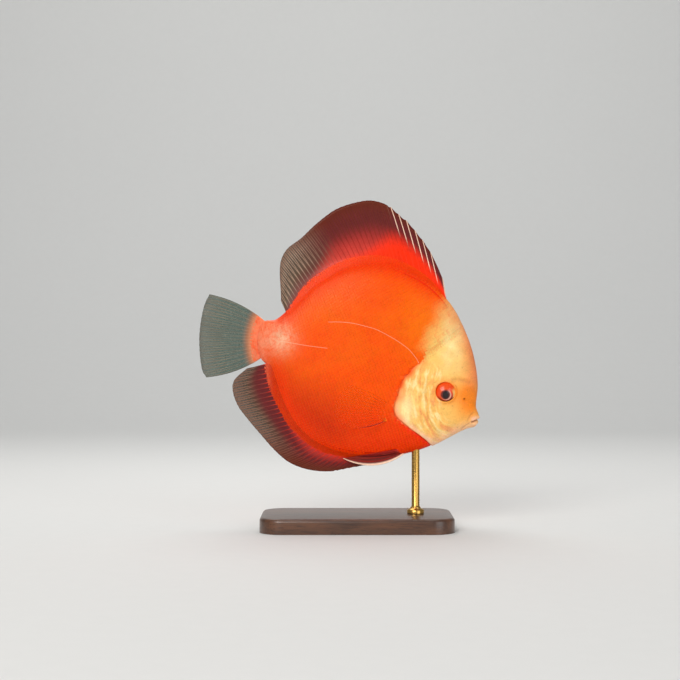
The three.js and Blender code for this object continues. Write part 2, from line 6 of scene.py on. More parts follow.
import bpy
import numpy as np
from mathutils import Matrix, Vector


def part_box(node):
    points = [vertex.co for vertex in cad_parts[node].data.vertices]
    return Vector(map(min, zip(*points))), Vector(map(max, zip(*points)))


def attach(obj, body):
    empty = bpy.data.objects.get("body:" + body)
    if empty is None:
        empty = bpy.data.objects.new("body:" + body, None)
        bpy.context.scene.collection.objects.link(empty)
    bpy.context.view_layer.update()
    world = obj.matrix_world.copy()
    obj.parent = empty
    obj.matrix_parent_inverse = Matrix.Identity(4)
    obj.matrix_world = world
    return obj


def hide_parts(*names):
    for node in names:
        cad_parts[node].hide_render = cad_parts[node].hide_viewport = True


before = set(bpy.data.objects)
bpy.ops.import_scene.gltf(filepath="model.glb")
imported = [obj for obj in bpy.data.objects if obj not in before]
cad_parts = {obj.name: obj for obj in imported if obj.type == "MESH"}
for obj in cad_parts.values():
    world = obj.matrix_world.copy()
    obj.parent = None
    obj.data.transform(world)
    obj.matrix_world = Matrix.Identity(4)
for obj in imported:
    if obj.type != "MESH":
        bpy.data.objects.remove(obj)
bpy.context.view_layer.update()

bl_info = {
    "name": "Discus fish on a stand",
    "version": (1, 0, 0),
    "blender": (4, 5, 0),
    "location": "View3D > Sidebar > Discus fish",
    "description": "Skin, scales, fins, eyes and stand of a life-size discus fish",
    "category": "Object",
}

MM = 0.001
RIGHT, LEFT = -1, 1
SIDES = ((RIGHT, "right"), (LEFT, "left"))

# Measures in millimetres about the middle of the flank: x to the snout, z up, y to the left flank

EYE_AT = (48.0, -25.0)
PUPIL_AT = (48.1, -26.7)

_low, _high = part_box("eye_right")
_eye_middle = (_low + _high) / 2 / MM
FLANK_MIDDLE = (_eye_middle.x - EYE_AT[0], 0.0, _eye_middle.z - EYE_AT[1])
EYE_OUT = -_low.y / MM  # how far the eye's outermost point stands from the middle plane
EYE_SIZE = tuple((_high - _low) / 2 / MM)

# The outline of the flesh from the side: (x, radius of the rounded rim, z)
FLESH_OUTLINE = (
    (68.9, 3.2, -39.6), (67.4, 3.6, -34.5), (68.4, 3.9, -21.5), (66.9, 3.4, -8.0),
    (62.3, 2.8, 8.0), (52.6, 2.2, 26.9), (36.5, 1.8, 43.2), (13.5, 1.6, 53.0),
    (-9.5, 1.6, 51.4), (-31.0, 1.6, 40.2), (-46.5, 1.6, 24.6), (-54.5, 1.7, 18.3),
    (-62.0, 1.3, 17.2), (-65.8, 1.2, 7.2), (-63.4, 1.3, -4.6), (-59.2, 1.7, -9.6),
    (-53.0, 1.6, -27.0), (-42.0, 1.6, -47.2), (-24.5, 1.7, -60.2), (-2.0, 2.0, -64.9),
    (22.0, 2.4, -63.2), (41.5, 2.8, -57.4), (57.0, 3.0, -49.8), (66.6, 3.0, -44.8),
)
SNOUT = (69.0, -41.0)
AXIS_END = (-65.8, 6.7)
HALF_WIDTHS = (
    (-0.05, 4.6), (0, 5.2), (0.08, 7.6), (0.2, 10.2), (0.33, 11.6), (0.46, 11.4),
    (0.62, 9.7), (0.76, 7.3), (0.88, 5.0), (1, 3.5), (1.1, 3.1),
)

# Lines of the head and body, as the side view shows them
GILL_EDGE = ((32.8, -7.4), (23.9, -16.6), (19.6, -27), (17.6, -37.6), (24, -44.6), (31.5, -50.4),
             (38.5, -56), (45, -64))
NAPE_EDGE = ((56, 36), (50.5, 25), (44.5, 13), (38.5, 2))
CHEEK_FOLD = ((38.5, -12), (36.8, -20), (36.3, -30), (37.8, -40), (42.5, -48), (49, -51.5))
MOUTH = ((70.5, -41.6), (67.3, -42.3), (63.4, -43.7))
JAW_FOLD = ((63.4, -43.7), (61.2, -45.2), (58.6, -47.4), (57.6, -49.5))
LIP_FOLD = ((66.4, -36.9), (64.2, -38.6), (62.3, -41.2), (61.4, -43.6))
BROW_FOLD = ((50.5, -18.2), (55.5, -17.6), (60.5, -18.6), (64.8, -20.4))
NOSTRIL_AT = (59.6, -29.4)
PORES = ((52.5, -33.5), (47.3, -35.2), (41.8, -33.0), (39.4, -26.5), (41.5, -19.5), (53.5, -13.5),
         (58.6, -10.5), (61.5, -24.0), (63.6, -31.5), (58.6, -35.2), (55.5, -46.6), (49.6, -48.8),
         (44.0, -51.4), (45.5, -43.5), (55.5, -3.5))
LATERAL_LINES = (
    ((31.8, -7.4), (30.2, -4.6), (25.8, 0.6), (19.9, 5), (13.9, 8.6), (6.7, 12.3), (-0.6, 14.5),
     (-8, 16.2), (-15.3, 16.9), (-21.5, 16.9)),
    ((-52, 5.4), (-48.1, 4.9), (-42, 3.9), (-35.1, 2.7), (-29, 1.9), (-23.3, 1.2)),
)


def linear(value):
    """A part of an sRGB colour from 0 to 255 as Blender's linear light."""
    value /= 255
    return value / 12.92 if value <= 0.04045 else ((value + 0.055) / 1.055) ** 2.4


def paint(name, red, green, blue, description):
    """A colour property, given as sRGB parts from 0 to 255."""
    return bpy.props.FloatVectorProperty(
        name=name, description=description, subtype="COLOR", size=3, min=0, max=1,
        default=tuple(linear(part) for part in (red, green, blue)),
    )


def length(name, millimetres, description):
    """A length property, given in millimetres."""
    return bpy.props.FloatProperty(
        name=name, description=description, default=millimetres * MM, min=0, unit="LENGTH",
        precision=5,
    )


class DiscusSizes(bpy.types.PropertyGroup):
    """The sizes of the fish's fine forms."""

    scale_pitch: length("Scale pitch", 2.15, "Distance between scales of one row on the flank")
    scale_rise: length("Scale rise", 0.15, "How far a scale's rear edge stands off the skin")
    gill_rise: length("Gill cover rise", 0.6, "Height of the gill cover's rear edge")
    lip_rise: length("Lip rise", 0.75, "How far the lips swell out of the snout")
    eye_rim: length("Eye rim", 0.5, "Height of the fold of skin round the eye")
    membrane: length("Membrane", 0.22, "Thickness of a fin between its rays")
    spine: length("Spine", 0.9, "Thickness of a hard spine at its root")
    soft_ray: length("Soft ray", 0.72, "Thickness of a soft ray at its root")
    base_corner: length("Base corner", 14.0, "Radius of the base's upright corners")
    base_bevel: length("Base bevel", 2.0, "Radius of the base's top edge")


class DiscusColours(bpy.types.PropertyGroup):
    """The paints of the fish and its stand."""

    orange: paint("Orange", 255, 76, 0, "Ground colour of the flank")
    red: paint("Red", 208, 26, 2, "Lower and hind flank")
    ember: paint("Ember", 246, 40, 0, "Edge of the back and roots of the long fins")
    glow: paint("Glow", 255, 118, 2, "Yellow-orange of the shoulder")
    cream: paint("Cream", 248, 194, 104, "Ground colour of the face")
    # Band is also laid as a painted highlight on the gill cover.
    band: paint("Band", 252, 226, 160, "Pale bands of the cheek")
    blush: paint("Blush", 234, 132, 80, "Pinkish furrows of the cheek")
    snout: paint("Snout", 246, 134, 30, "Orange of the snout and forehead")
    pearl: paint("Pearl", 250, 196, 160, "Pinkish white of lips, throat and tail stalk")
    # Shade is painted shade: darker in the furrows, folds, pores, nostril, mouth slit and under the gill
    # cover's edge.
    shade: paint("Shade", 120, 40, 18, "Furrows, pores and folds")
    maroon: paint("Maroon", 96, 26, 34, "Dark band of the dorsal and anal fins")
    rose: paint("Rose", 206, 56, 48, "Pinkish red beyond the fin roots")
    ray_red: paint("Ray red", 158, 24, 16, "Rays where the web is red")
    ray_pale: paint("Pale ray", 168, 140, 120, "Rays where the web is clear")
    umber: paint("Umber", 92, 28, 18, "Brownish outer edge of the fins")
    olive: paint("Olive", 78, 64, 52, "Clear hind parts of the fins")
    smoke: paint("Smoke", 76, 98, 90, "Clear tail fin")
    bone: paint("Bone", 255, 216, 190, "Pale streaks of the spines")
    iris: paint("Iris", 232, 62, 6, "Main colour of the iris")
    iris_dark: paint("Dark iris", 92, 18, 12, "Outer and inner rings of the iris")
    pupil: paint("Pupil", 30, 8, 16, "Black of the pupil")
    wood_light: paint("Light wood", 108, 66, 38, "Light grain of the base")
    wood_dark: paint("Dark wood", 46, 26, 16, "Dark grain of the base")
    brass: paint("Brass", 214, 168, 88, "Brass of the rod")
    floor: paint("Floor", 214, 214, 212, "Pale studio floor")


# Curves and the form of the body


def smooth_table(knots, at):
    """A smooth line through rows of (place, value, ...), read at many places."""
    knots = np.asarray(knots, float)
    place, value = knots[:, 0], knots[:, 1:]
    slope = np.gradient(value, axis=0)
    slope[1:-1] = (value[2:] - value[:-2]) / (place[2:] - place[:-2])[:, None]
    slope[0] = (value[1] - value[0]) / (place[1] - place[0])
    slope[-1] = (value[-1] - value[-2]) / (place[-1] - place[-2])
    at = np.asarray(at, float)
    low = np.clip(np.searchsorted(place, at) - 1, 0, len(place) - 2)
    width = place[low + 1] - place[low]
    t = np.clip((at - place[low]) / width, 0, 1)[..., None]
    width = width[..., None]
    return (
        (2 * t**3 - 3 * t**2 + 1) * value[low]
        + (t**3 - 2 * t**2 + t) * width * slope[low]
        + (3 * t**2 - 2 * t**3) * value[low + 1]
        + (t**3 - t**2) * width * slope[low + 1]
    )


def closed_curve(knots, samples):
    """A closed centripetal spline through the knots, sampled evenly by its length."""
    p = np.asarray(knots, float)
    p0, p1, p2, p3 = (np.roll(p, shift, axis=0) for shift in (1, 0, -1, -2))
    d0, d1, d2 = (
        np.sqrt(np.linalg.norm(b - a, axis=1))[:, None] for a, b in ((p0, p1), (p1, p2), (p2, p3))
    )
    m1 = ((p1 - p0) / d0 - (p2 - p0) / (d0 + d1) + (p2 - p1) / d1) * d1
    m2 = ((p2 - p1) / d1 - (p3 - p1) / (d1 + d2) + (p3 - p2) / d2) * d1
    t = np.linspace(0, 1, 60, endpoint=False)[None, :, None]
    a, b, m, n = (k[:, None, :] for k in (p1, p2, m1, m2))
    curve = a + m * t + (3 * (b - a) - 2 * m - n) * t**2 + (2 * (a - b) + m + n) * t**3
    curve = curve.reshape(-1, p.shape[1])
    steps = np.linalg.norm(np.diff(curve, axis=0, append=curve[:1]), axis=1)
    run = np.concatenate([[0], np.cumsum(steps)])
    curve = np.vstack([curve, curve[:1]])
    at = np.linspace(0, run[-1], samples, endpoint=False)
    return np.column_stack([np.interp(at, run, curve[:, k]) for k in range(p.shape[1])])


def open_curve(points, steps=8):
    """A smooth open line through points of the side view."""
    rows = [(i, *p) for i, p in enumerate(points)]
    return smooth_table(rows, np.linspace(0, len(points) - 1, (len(points) - 1) * steps + 1))


OUTLINE = closed_curve(FLESH_OUTLINE, 1440)
_angles = np.arctan2(OUTLINE[:, 2], OUTLINE[:, 0])
_order = np.argsort(_angles)
RIM_ANGLES = _angles[_order]
RIM_REACH = np.hypot(OUTLINE[:, 0], OUTLINE[:, 2])[_order]
RIM_ROUNDING = OUTLINE[:, 1][_order]


def rim_at(angle):
    """The reach and the rounding of the rim in a direction from the flank's middle."""
    reach = np.interp(angle, RIM_ANGLES, RIM_REACH, period=2 * math.pi)
    return reach, np.interp(angle, RIM_ANGLES, RIM_ROUNDING, period=2 * math.pi)


def half_width(x, z):
    """Half the body's greatest width at a point of the side view."""
    dx, dz = AXIS_END[0] - SNOUT[0], AXIS_END[1] - SNOUT[1]
    share = ((x - SNOUT[0]) * dx + (z - SNOUT[1]) * dz) / (dx * dx + dz * dz)
    return smooth_table(HALF_WIDTHS, share)[..., 0]


def flank_height(x, z):
    """Half the body's thickness at points of the side view, 0 outside the flesh."""
    x, z = np.asarray(x, float), np.asarray(z, float)
    reach, rounding = rim_at(np.arctan2(z, x))
    out = np.hypot(x, z) / reach
    scale = 1 / np.maximum(out, 1e-9)
    rim_width = half_width(x * scale, z * scale)
    power = np.hypot(2, 2 * reach * rounding / rim_width**2)
    return half_width(x, z) * np.sqrt(np.clip(1 - np.minimum(out, 1) ** power, 0, 1))


def share_near(x, z):
    """The place on the outline, from 0 to 1, nearest to a point of the side view."""
    return int(np.argmin(np.hypot(OUTLINE[:, 0] - x, OUTLINE[:, 2] - z))) / len(OUTLINE)


def outline_at(share):
    """Points x, z of the outline at places from 0 to 1."""
    place = (np.asarray(share, float) % 1) * len(OUTLINE)
    low = np.floor(place).astype(int)
    part = (place - low)[..., None]
    ends = OUTLINE[low % len(OUTLINE)], OUTLINE[(low + 1) % len(OUTLINE)]
    return (ends[0] * (1 - part) + ends[1] * part)[..., [0, 2]]


def beside(line, x, z):
    """Distance to a line of the side view, positive on its left, and the share of its length there."""
    points = open_curve(line, 6)
    a, b = points[:-1], points[1:]
    run = np.concatenate([[0], np.cumsum(np.linalg.norm(b - a, axis=1))])
    best = np.full(np.shape(x), 1e9)
    side = np.ones(np.shape(x))
    share = np.zeros(np.shape(x))
    for k, (p, q) in enumerate(zip(a, b)):
        dx, dz = q - p
        t = np.clip(((x - p[0]) * dx + (z - p[1]) * dz) / (dx * dx + dz * dz), 0, 1)
        gap_x, gap_z = x - p[0] - t * dx, z - p[1] - t * dz
        distance = np.hypot(gap_x, gap_z)
        nearer = distance < best - 1e-6
        best = np.where(nearer, distance, best)
        side = np.where(nearer, np.sign(dx * gap_z - dz * gap_x), side)
        share = np.where(nearer, (run[k] + t * (run[k + 1] - run[k])) / run[-1], share)
    return best * np.where(side == 0, 1, side), share


def ramp(low, high, value):
    """A smooth step from 0 at low to 1 at high."""
    t = np.clip((value - low) / (high - low), 0, 1)
    return t * t * (3 - 2 * t)


def bell(value, spread):
    """A bell curve of height 1."""
    return np.exp(-((value / spread) ** 2))


# The form of the skin over the plain body

EYE_OPENING = 5.75


def skin_relief(x, z, sizes):
    """How far the skin stands off the plain body, in millimetres: eye, lips, gill cover, folds."""
    rise = np.zeros_like(x)
    gill_rise, lip_rise, eye_rim = (
        v / MM for v in (sizes.gill_rise, sizes.lip_rise, sizes.eye_rim)
    )

    edge, share = beside(GILL_EDGE, x, z)
    cover = ramp(0, 0.12, share) * ramp(1, 0.86, share)
    plate = np.where(edge > 0, np.exp(-np.clip(edge, 0, 99) / 9), 0) * ramp(-0.1, 0.35, edge)
    slit = bell(edge + 0.55, 0.5)
    rise += cover * (gill_rise * plate - 0.45 * slit)

    fold, share = beside(CHEEK_FOLD, x, z)
    rise -= 0.32 * bell(fold, 0.55) * ramp(0, 0.15, share) * ramp(1, 0.8, share)
    rise += 0.18 * bell(fold - 1.6, 1.4) * ramp(0, 0.15, share) * ramp(1, 0.8, share)
    for line, depth, width in ((BROW_FOLD, 0.2, 1.1), (JAW_FOLD, 0.35, 0.42), (LIP_FOLD, 0.22, 0.7)):
        fold, share = beside(line, x, z)
        rise -= depth * bell(fold, width) * ramp(-0.01, 0.2, share) * ramp(1.01, 0.7, share)

    mouth, share = beside(MOUTH, x, z)
    open_part = ramp(1.0, 0.8, share)
    rise -= 1.3 * bell(mouth, 0.26) * open_part
    rise += lip_rise * (1.15 * bell(mouth + 1.25, 0.85) + bell(mouth - 1.2, 0.8)) * open_part

    rise += 1.1 * bell(np.hypot((x - 66.2) / 3.2, (z + 45.6) / 2.2), 1)  # the lower lip's fullness

    eye = np.hypot(x - EYE_AT[0], z - EYE_AT[1])
    rise -= 3.4 * ramp(EYE_OPENING + 0.25, EYE_OPENING - 0.6, eye)
    rise += eye_rim * bell(eye - EYE_OPENING - 0.8, 0.62)
    rise -= 0.16 * bell(eye - EYE_OPENING - 2.6, 0.9)

    nostril = np.hypot(x - NOSTRIL_AT[0], z - NOSTRIL_AT[1])
    rise += 0.28 * bell(nostril - 0.85, 0.35) - 0.9 * bell(nostril, 0.5)
    for pore_x, pore_z in PORES:
        rise -= 0.28 * bell(np.hypot(x - pore_x, z - pore_z), 0.3)
    return rise


# Markings, with painted shade and a painted highlight


def ripple(x, z, size):
    """An uneven pattern between -1 and 1, with blotches of about this size."""
    x, z = x / size, z / size
    first = np.sin(1.9 * x + 0.8 * z + 1.7 * np.sin(0.9 * z - 0.4 * x))
    return 0.6 * first + 0.4 * np.sin(2.3 * z - 1.1 * x + 2.0 * np.sin(1.3 * x + 0.5))


def markings(x, z):
    """Masks from 0 to 1 of the fish's colours at points of the side view, with painted shade in the folds and
    pits and a painted highlight on the gill cover.
    """
    angle = np.arctan2(z, x)
    reach, _ = rim_at(angle)
    inward = reach - np.hypot(x, z)

    edge, share = beside(GILL_EDGE, x, z)
    softness = 0.7 + 5.3 * ramp(0.75, 0.4, share)
    below = ramp(-0.4 * softness, 0.9 * softness, edge + 0.25 * softness * ripple(x, z, 4.0))
    nape, _ = beside(NAPE_EDGE, x, z)
    upper = ramp(-12, 2, z)
    cream = (1 - upper) * below + upper * ramp(-9.5, 3, nape + 1.6 * ripple(x, z, 5.2))

    fold, _ = beside(CHEEK_FOLD, x, z)
    eye = np.hypot(x - EYE_AT[0], z - EYE_AT[1])
    snout = 1.3 * bell(np.hypot((x - 63) / 9, (z + 29) / 12), 1) + 0.5 * bell(eye - EYE_OPENING, 2.6)
    brow = bell(inward, 7.0) * ramp(-28, -16, z) * ramp(38, 20, z)
    belly_lean = 0.8 * z + 0.35 * x
    stalk = bell(np.hypot((x + 50.5) / 8.5, (z - 6.5) / 8.5), 1) + 0.35 * ramp(-54, -64, x)
    mouth, mouth_share = beside(MOUTH, x, z)
    lips = bell(mouth + 1.3, 1.2) * ramp(1, 0.8, mouth_share)
    throat = bell(inward, 5) * ramp(22, 36, x) * ramp(-38, -46, z)
    cover_rim = bell(edge - 1.3, 1.5) * ramp(-26, -38, z)

    # Painted shade: darker in the mouth's slit, along the folds, under the gill cover's edge, in the nostril
    # and in the pores.
    painted_shade = 0.85 * bell(mouth, 0.34) * ramp(1.0, 0.85, mouth_share)
    for fold_line, width, depth in (
        (BROW_FOLD, 1.3, 0.24), (JAW_FOLD, 0.45, 0.26), (LIP_FOLD, 0.5, 0.25), (CHEEK_FOLD, 0.5, 0.16),
        (GILL_EDGE, 0.4, 0.2),
    ):
        gap, along = beside(fold_line, x, z)
        gap = gap + 0.5 if fold_line is GILL_EDGE else gap
        painted_shade = np.maximum(painted_shade, depth * bell(gap, width) * ramp(0, 0.15, along) * ramp(1, 0.8, along))
    painted_shade = np.maximum(painted_shade, 0.8 * bell(np.hypot(x - NOSTRIL_AT[0], z - NOSTRIL_AT[1]), 0.6))
    for pore_x, pore_z in PORES:
        painted_shade = np.maximum(painted_shade, 0.25 * bell(np.hypot(x - pore_x, z - pore_z), 0.36))

    return {
        "glow": 0.85 * bell(np.hypot((x - 38) / 19, (z - 14) / 22), 1),
        "red": ramp(-12, -46, belly_lean) * ramp(22, -22, x),
        "ember": np.clip(bell(np.maximum(inward - 1, 0), 7) * ramp(54, 34, x) * ramp(-58, -48, x)
                         + 0.8 * ramp(-24, -48, z) * ramp(-24, 6, x), 0, 1)
                 + 0.75 * bell(eye - EYE_OPENING, 0.9) * ramp(-6, 3, z - EYE_AT[1] - x + EYE_AT[0]),
        "cream": np.clip(cream, 0, 1),
        "snout": np.clip(snout, 0, 1) * cream,
        "brow": 0.95 * brow * cream,
        "cheek": ramp(-4, -14, z) * ramp(-19, -12, fold) * ramp(11, 5, fold) * cream,
        "fold": fold,
        "pearl": np.clip(0.9 * stalk + 0.8 * lips + cream * (0.8 * throat + 0.85 * cover_rim), 0, 1),
        # The first bell is a painted highlight on the gill cover; the second is the forehead's own pale
        # colour.
        "pale": np.clip(bell(np.hypot((x - 24.5) / 4.5, (z + 34.5) / 8.5), 1)
                        + 0.85 * bell(np.hypot((x - 51.5 - 0.1 * z) / 6.5, (z - 6) / 17), 1)
                        * (0.7 + 0.3 * ripple(x, z, 3.1)), 0, 1) * cream,
        "shade": painted_shade,
    }


# Meshes


def deselect():
    """Nothing is left selected, the frame's nodes included."""
    if bpy.context.mode != "OBJECT":
        bpy.ops.object.mode_set(mode="OBJECT")
    bpy.ops.object.select_all(action="DESELECT")


def named(name):
    """Gives the primitive that was just added its name."""
    piece = bpy.context.object
    piece.name = piece.data.name = name
    return piece


def points_of(piece):
    """The vertices of a piece as an array."""
    flat = np.empty(len(piece.data.vertices) * 3)
    piece.data.vertices.foreach_get("co", flat)
    return flat.reshape(-1, 3)


def set_points(piece, points):
    """Moves the vertices of a piece to new places."""
    piece.data.vertices.foreach_set("co", np.ascontiguousarray(points, float).ravel())
    piece.data.update()


def in_place(x, y, z):
    """Millimetres about the flank's middle as metres in the row's frame."""
    return np.column_stack([
        (np.ravel(x) + FLANK_MIDDLE[0]) * MM,
        np.ravel(y) * MM,
        (np.ravel(z) + FLANK_MIDDLE[2]) * MM,
    ])


def mark(piece, masks):
    """Stores the masks as attributes of the piece's points."""
    for name, values in masks.items():
        attribute = piece.data.attributes.new(name, "FLOAT", "POINT")
        attribute.data.foreach_set("value", np.ascontiguousarray(values, np.float32).ravel())


def mesh_piece(name, points, faces):
    """A new piece from points in metres and lists of faces."""
    mesh = bpy.data.meshes.new(name)
    mesh.from_pydata(points.tolist(), [], faces)
    mesh.update()
    piece = bpy.data.objects.new(name, mesh)
    bpy.context.scene.collection.objects.link(piece)
    return piece


def face_outwards(piece):
    """Turns the normals of a closed piece outwards."""
    deselect()
    piece.select_set(True)
    bpy.context.view_layer.objects.active = piece
    bpy.ops.object.mode_set(mode="EDIT")
    bpy.ops.mesh.select_all(action="SELECT")
    bpy.ops.mesh.normals_make_consistent(inside=False)
    bpy.ops.object.mode_set(mode="OBJECT")


def finish_piece(piece, material, slot, *nodes):
    """Smooths a piece, gives it its material, and ties it to the frame."""
    piece.data.materials.clear()
    piece.data.materials.append(material)
    piece.data.shade_smooth()
    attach(piece, "root")
    if nodes:
        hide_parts(*nodes)
    return piece


# Skin

SKIN_COLUMNS = 208
SKIN_RINGS = 124
FACE_PULL = 0.42


def skin_side_view(unit):
    """Where points of a unit ball, with its poles in the flanks, lie in the side view."""
    turn = np.arctan2(unit[:, 1], unit[:, 0]) / (2 * math.pi) % 1
    share = turn + share_near(*SNOUT) - FACE_PULL / (2 * math.pi) * np.sin(2 * math.pi * turn)
    rim = outline_at(share)
    out = np.hypot(unit[:, 0], unit[:, 1])
    return rim[:, 0] * out, rim[:, 1] * out, np.clip(out, 0, 1)


def refine_skin(skin, wanted):
    """Splits the faces of the ball whose middles are wanted in the side view."""
    mesh = skin.data
    unit = points_of(skin)
    x, z, _ = skin_side_view(unit)
    starts = np.empty(len(mesh.polygons), int)
    counts = np.empty(len(mesh.polygons), int)
    corners = np.empty(len(mesh.loops), int)
    mesh.polygons.foreach_get("loop_start", starts)
    mesh.polygons.foreach_get("loop_total", counts)
    mesh.loops.foreach_get("vertex_index", corners)
    middle_x = np.add.reduceat(x[corners], starts) / counts
    middle_z = np.add.reduceat(z[corners], starts) / counts
    chosen = wanted(middle_x, middle_z)
    for part in (mesh.vertices, mesh.edges):
        part.foreach_set("select", np.zeros(len(part), bool))
    mesh.polygons.foreach_set("select", chosen)
    bpy.ops.object.mode_set(mode="EDIT")
    bpy.ops.mesh.select_mode(type="FACE")
    bpy.ops.mesh.subdivide(number_cuts=1)
    bpy.ops.object.mode_set(mode="OBJECT")
    unit = points_of(skin)
    set_points(skin, unit / np.linalg.norm(unit, axis=1)[:, None])


def head_region(x, z):
    """The head, with a little of the shoulder behind the gill cover."""
    return (beside(GILL_EDGE, x, z)[0] > -3) & (z < 6) & (x > 14)


def fine_region(x, z):
    """Where the skin has its smallest forms."""
    eye = np.hypot(x - EYE_AT[0], z - EYE_AT[1])
    wanted = (abs(eye - EYE_OPENING - 0.3) < 1.7) | (np.hypot(x - NOSTRIL_AT[0], z - NOSTRIL_AT[1]) < 2)
    wanted |= (x > 61) & (z < -36.5)
    gill, share = beside(GILL_EDGE, x, z)
    wanted |= (abs(gill + 0.2) < 1.2) & (share < 0.97)
    for line in (JAW_FOLD, LIP_FOLD):
        wanted |= abs(beside(line, x, z)[0]) < 1
    for pore_x, pore_z in PORES:
        wanted |= np.hypot(x - pore_x, z - pore_z) < 0.9
    return wanted


def add_skin(sizes, colours):
    """One skin over the head, gill covers, jaw, trunk and tail stalk."""
    deselect()
    bpy.ops.mesh.primitive_uv_sphere_add(segments=SKIN_COLUMNS, ring_count=SKIN_RINGS, radius=1)
    skin = named("skin")
    refine_skin(skin, head_region)
    refine_skin(skin, fine_region)
    unit = points_of(skin)
    x, z, out = skin_side_view(unit)
    reach, rounding = rim_at(np.arctan2(z, x))
    y = np.sign(unit[:, 2]) * flank_height(x, z)
    set_points(skin, in_place(x, y, z))
    face_outwards(skin)
    normals = np.empty(len(skin.data.vertices) * 3)
    skin.data.vertices.foreach_get("normal", normals)
    lift = (skin_relief(x, z, sizes) - 0.12) * MM
    set_points(skin, points_of(skin) + normals.reshape(-1, 3) * lift[:, None])
    mark(skin, markings(x, z))
    mark(skin, {"flank_scales": scaled_part(x, z)})
    finish_piece(skin, skin_material(colours), "scaled_skin", "head", "gill_cover_right",
                 "gill_cover_left", "lower_jaw", "trunk", "tail_stalk")


# Scales

BODY_AXIS = np.array([AXIS_END[0] - SNOUT[0], AXIS_END[1] - SNOUT[1]])
BODY_AXIS = BODY_AXIS / np.linalg.norm(BODY_AXIS)
ACROSS = np.array([BODY_AXIS[1], -BODY_AXIS[0]])
CROWDING = 0.12  # how much closer the scales stand at the rim
UNWRAP_REACH = 190.0  # millimetres of flank across the scales' UV square
LINE_PITCH = 1.35  # between the plates of the lateral line
LINE_WIDTH = 0.44


def scaled_part(x, z):
    """1 where the body has its full scales, 0 on the bare face."""
    edge, _ = beside(GILL_EDGE, x, z)
    behind = ramp(-1.0, -2.2, edge)
    nape = ramp(-7, 9, z - 0.75 * (x - 33) + 4) * ramp(64, 56, x)
    return np.clip(np.where(z > -7.4, np.maximum(nape, np.where(x < 32, 1, 0)), behind), 0, 1)


def flank_from_lattice(a, c):
    """Places of the side view from the even lattice that the scales stand on."""
    x = a * BODY_AXIS[0] + c * ACROSS[0]
    z = a * BODY_AXIS[1] + c * ACROSS[1]
    reach, _ = rim_at(np.arctan2(z, x))
    s = np.hypot(x, z) / reach
    warp = (1 + CROWDING) - CROWDING * np.minimum(s, 1) ** 2
    return x * warp, z * warp, s * warp


def scale_form(pitch, rows):
    """One scale about its middle: points along, across and up, and its faces."""
    sides = 10
    long, wide = pitch * 0.74, rows * 1.16
    rim, inner = [], []
    for k in range(sides):
        turn = 2 * math.pi * k / sides
        along, across = math.cos(turn), math.sin(turn)
        width = wide * math.copysign(abs(across) ** 0.8, across)
        rim.append((long * along, width, 0.5 + 0.5 * along))
        inner.append((long * 0.8 * along, width * 0.8, 0.5 + 0.4 * along + 0.25))
    points = rim + inner + [(0, 0, 0.9), (0, 0, -1.6)]
    top, bottom = 2 * sides, 2 * sides + 1
    faces = []
    for k in range(sides):
        n = (k + 1) % sides
        faces.append((k, n, sides + n, sides + k))
        faces.append((sides + k, sides + n, top))
        faces.append((n, k, bottom))
    return np.array(points), faces


def surface_normals(x, z, side):
    """Outward normals of the plain flank at points of the side view."""
    step = 0.25
    slope_x = (flank_height(x + step, z) - flank_height(x - step, z)) / (2 * step)
    slope_z = (flank_height(x, z + step) - flank_height(x, z - step)) / (2 * step)
    normal = np.stack([-slope_x, side * np.ones_like(x), -slope_z], axis=-1)
    return normal / np.linalg.norm(normal, axis=-1, keepdims=True)


def repeat_faces(faces, size, count):
    """The faces of one small form, repeated for each of its copies."""
    every = []
    for face in faces:
        every.append(np.array(face)[None, :] + size * np.arange(count)[:, None])
    return [row for block in every for row in block.tolist()]


def unwrapped(x, z):
    """Where a point of the side view lies on the flattened flank."""
    reach, _ = rim_at(np.arctan2(z, x))
    s = np.hypot(x, z) / reach
    warp = 1 + CROWDING - CROWDING * s**2
    return np.stack([x / warp, z / warp], axis=-1) / UNWRAP_REACH + 0.5


def line_plates():
    """The small plates along the lateral line: their middles and the way they point."""
    places, ways = [], []
    for line in LATERAL_LINES:
        points = open_curve(line, 30)
        run = np.concatenate([[0], np.cumsum(np.linalg.norm(np.diff(points, axis=0), axis=1))])
        at = np.arange(0.4, run[-1], LINE_PITCH)
        middle = np.column_stack([np.interp(at, run, points[:, k]) for k in (0, 1)])
        way = np.gradient(middle, axis=0)
        places.append(middle)
        ways.append(way / np.linalg.norm(way, axis=1)[:, None])
    return np.vstack(places), np.vstack(ways)


def join_scales(name, at, form, faces, masks, rear, unwrap, colours):
    """Makes one piece of many scales: their points, masks and places on the unwrap."""
    count, size = at.shape[0], at.shape[1]
    piece = mesh_piece(
        name, in_place(at[..., 0], at[..., 1], at[..., 2]), repeat_faces(faces, size, count))
    every = {key: np.repeat(values, size) for key, values in masks.items()}
    every["rear"] = np.tile(rear, count)
    mark(piece, every)
    bake = piece.data.uv_layers.new(name="OFBake")
    corners = np.empty(len(piece.data.loops), int)
    piece.data.loops.foreach_get("vertex_index", corners)
    patch = form[None, :, :2] / np.abs(form[:, :2]).max() * 0.0015
    spread = (unwrap[:, None, :] + patch).reshape(-1, 2)
    bake.data.foreach_set("uv", spread[corners].ravel())
    face_outwards(piece)
    return finish_piece(piece, scale_material(colours), "scaled_skin")


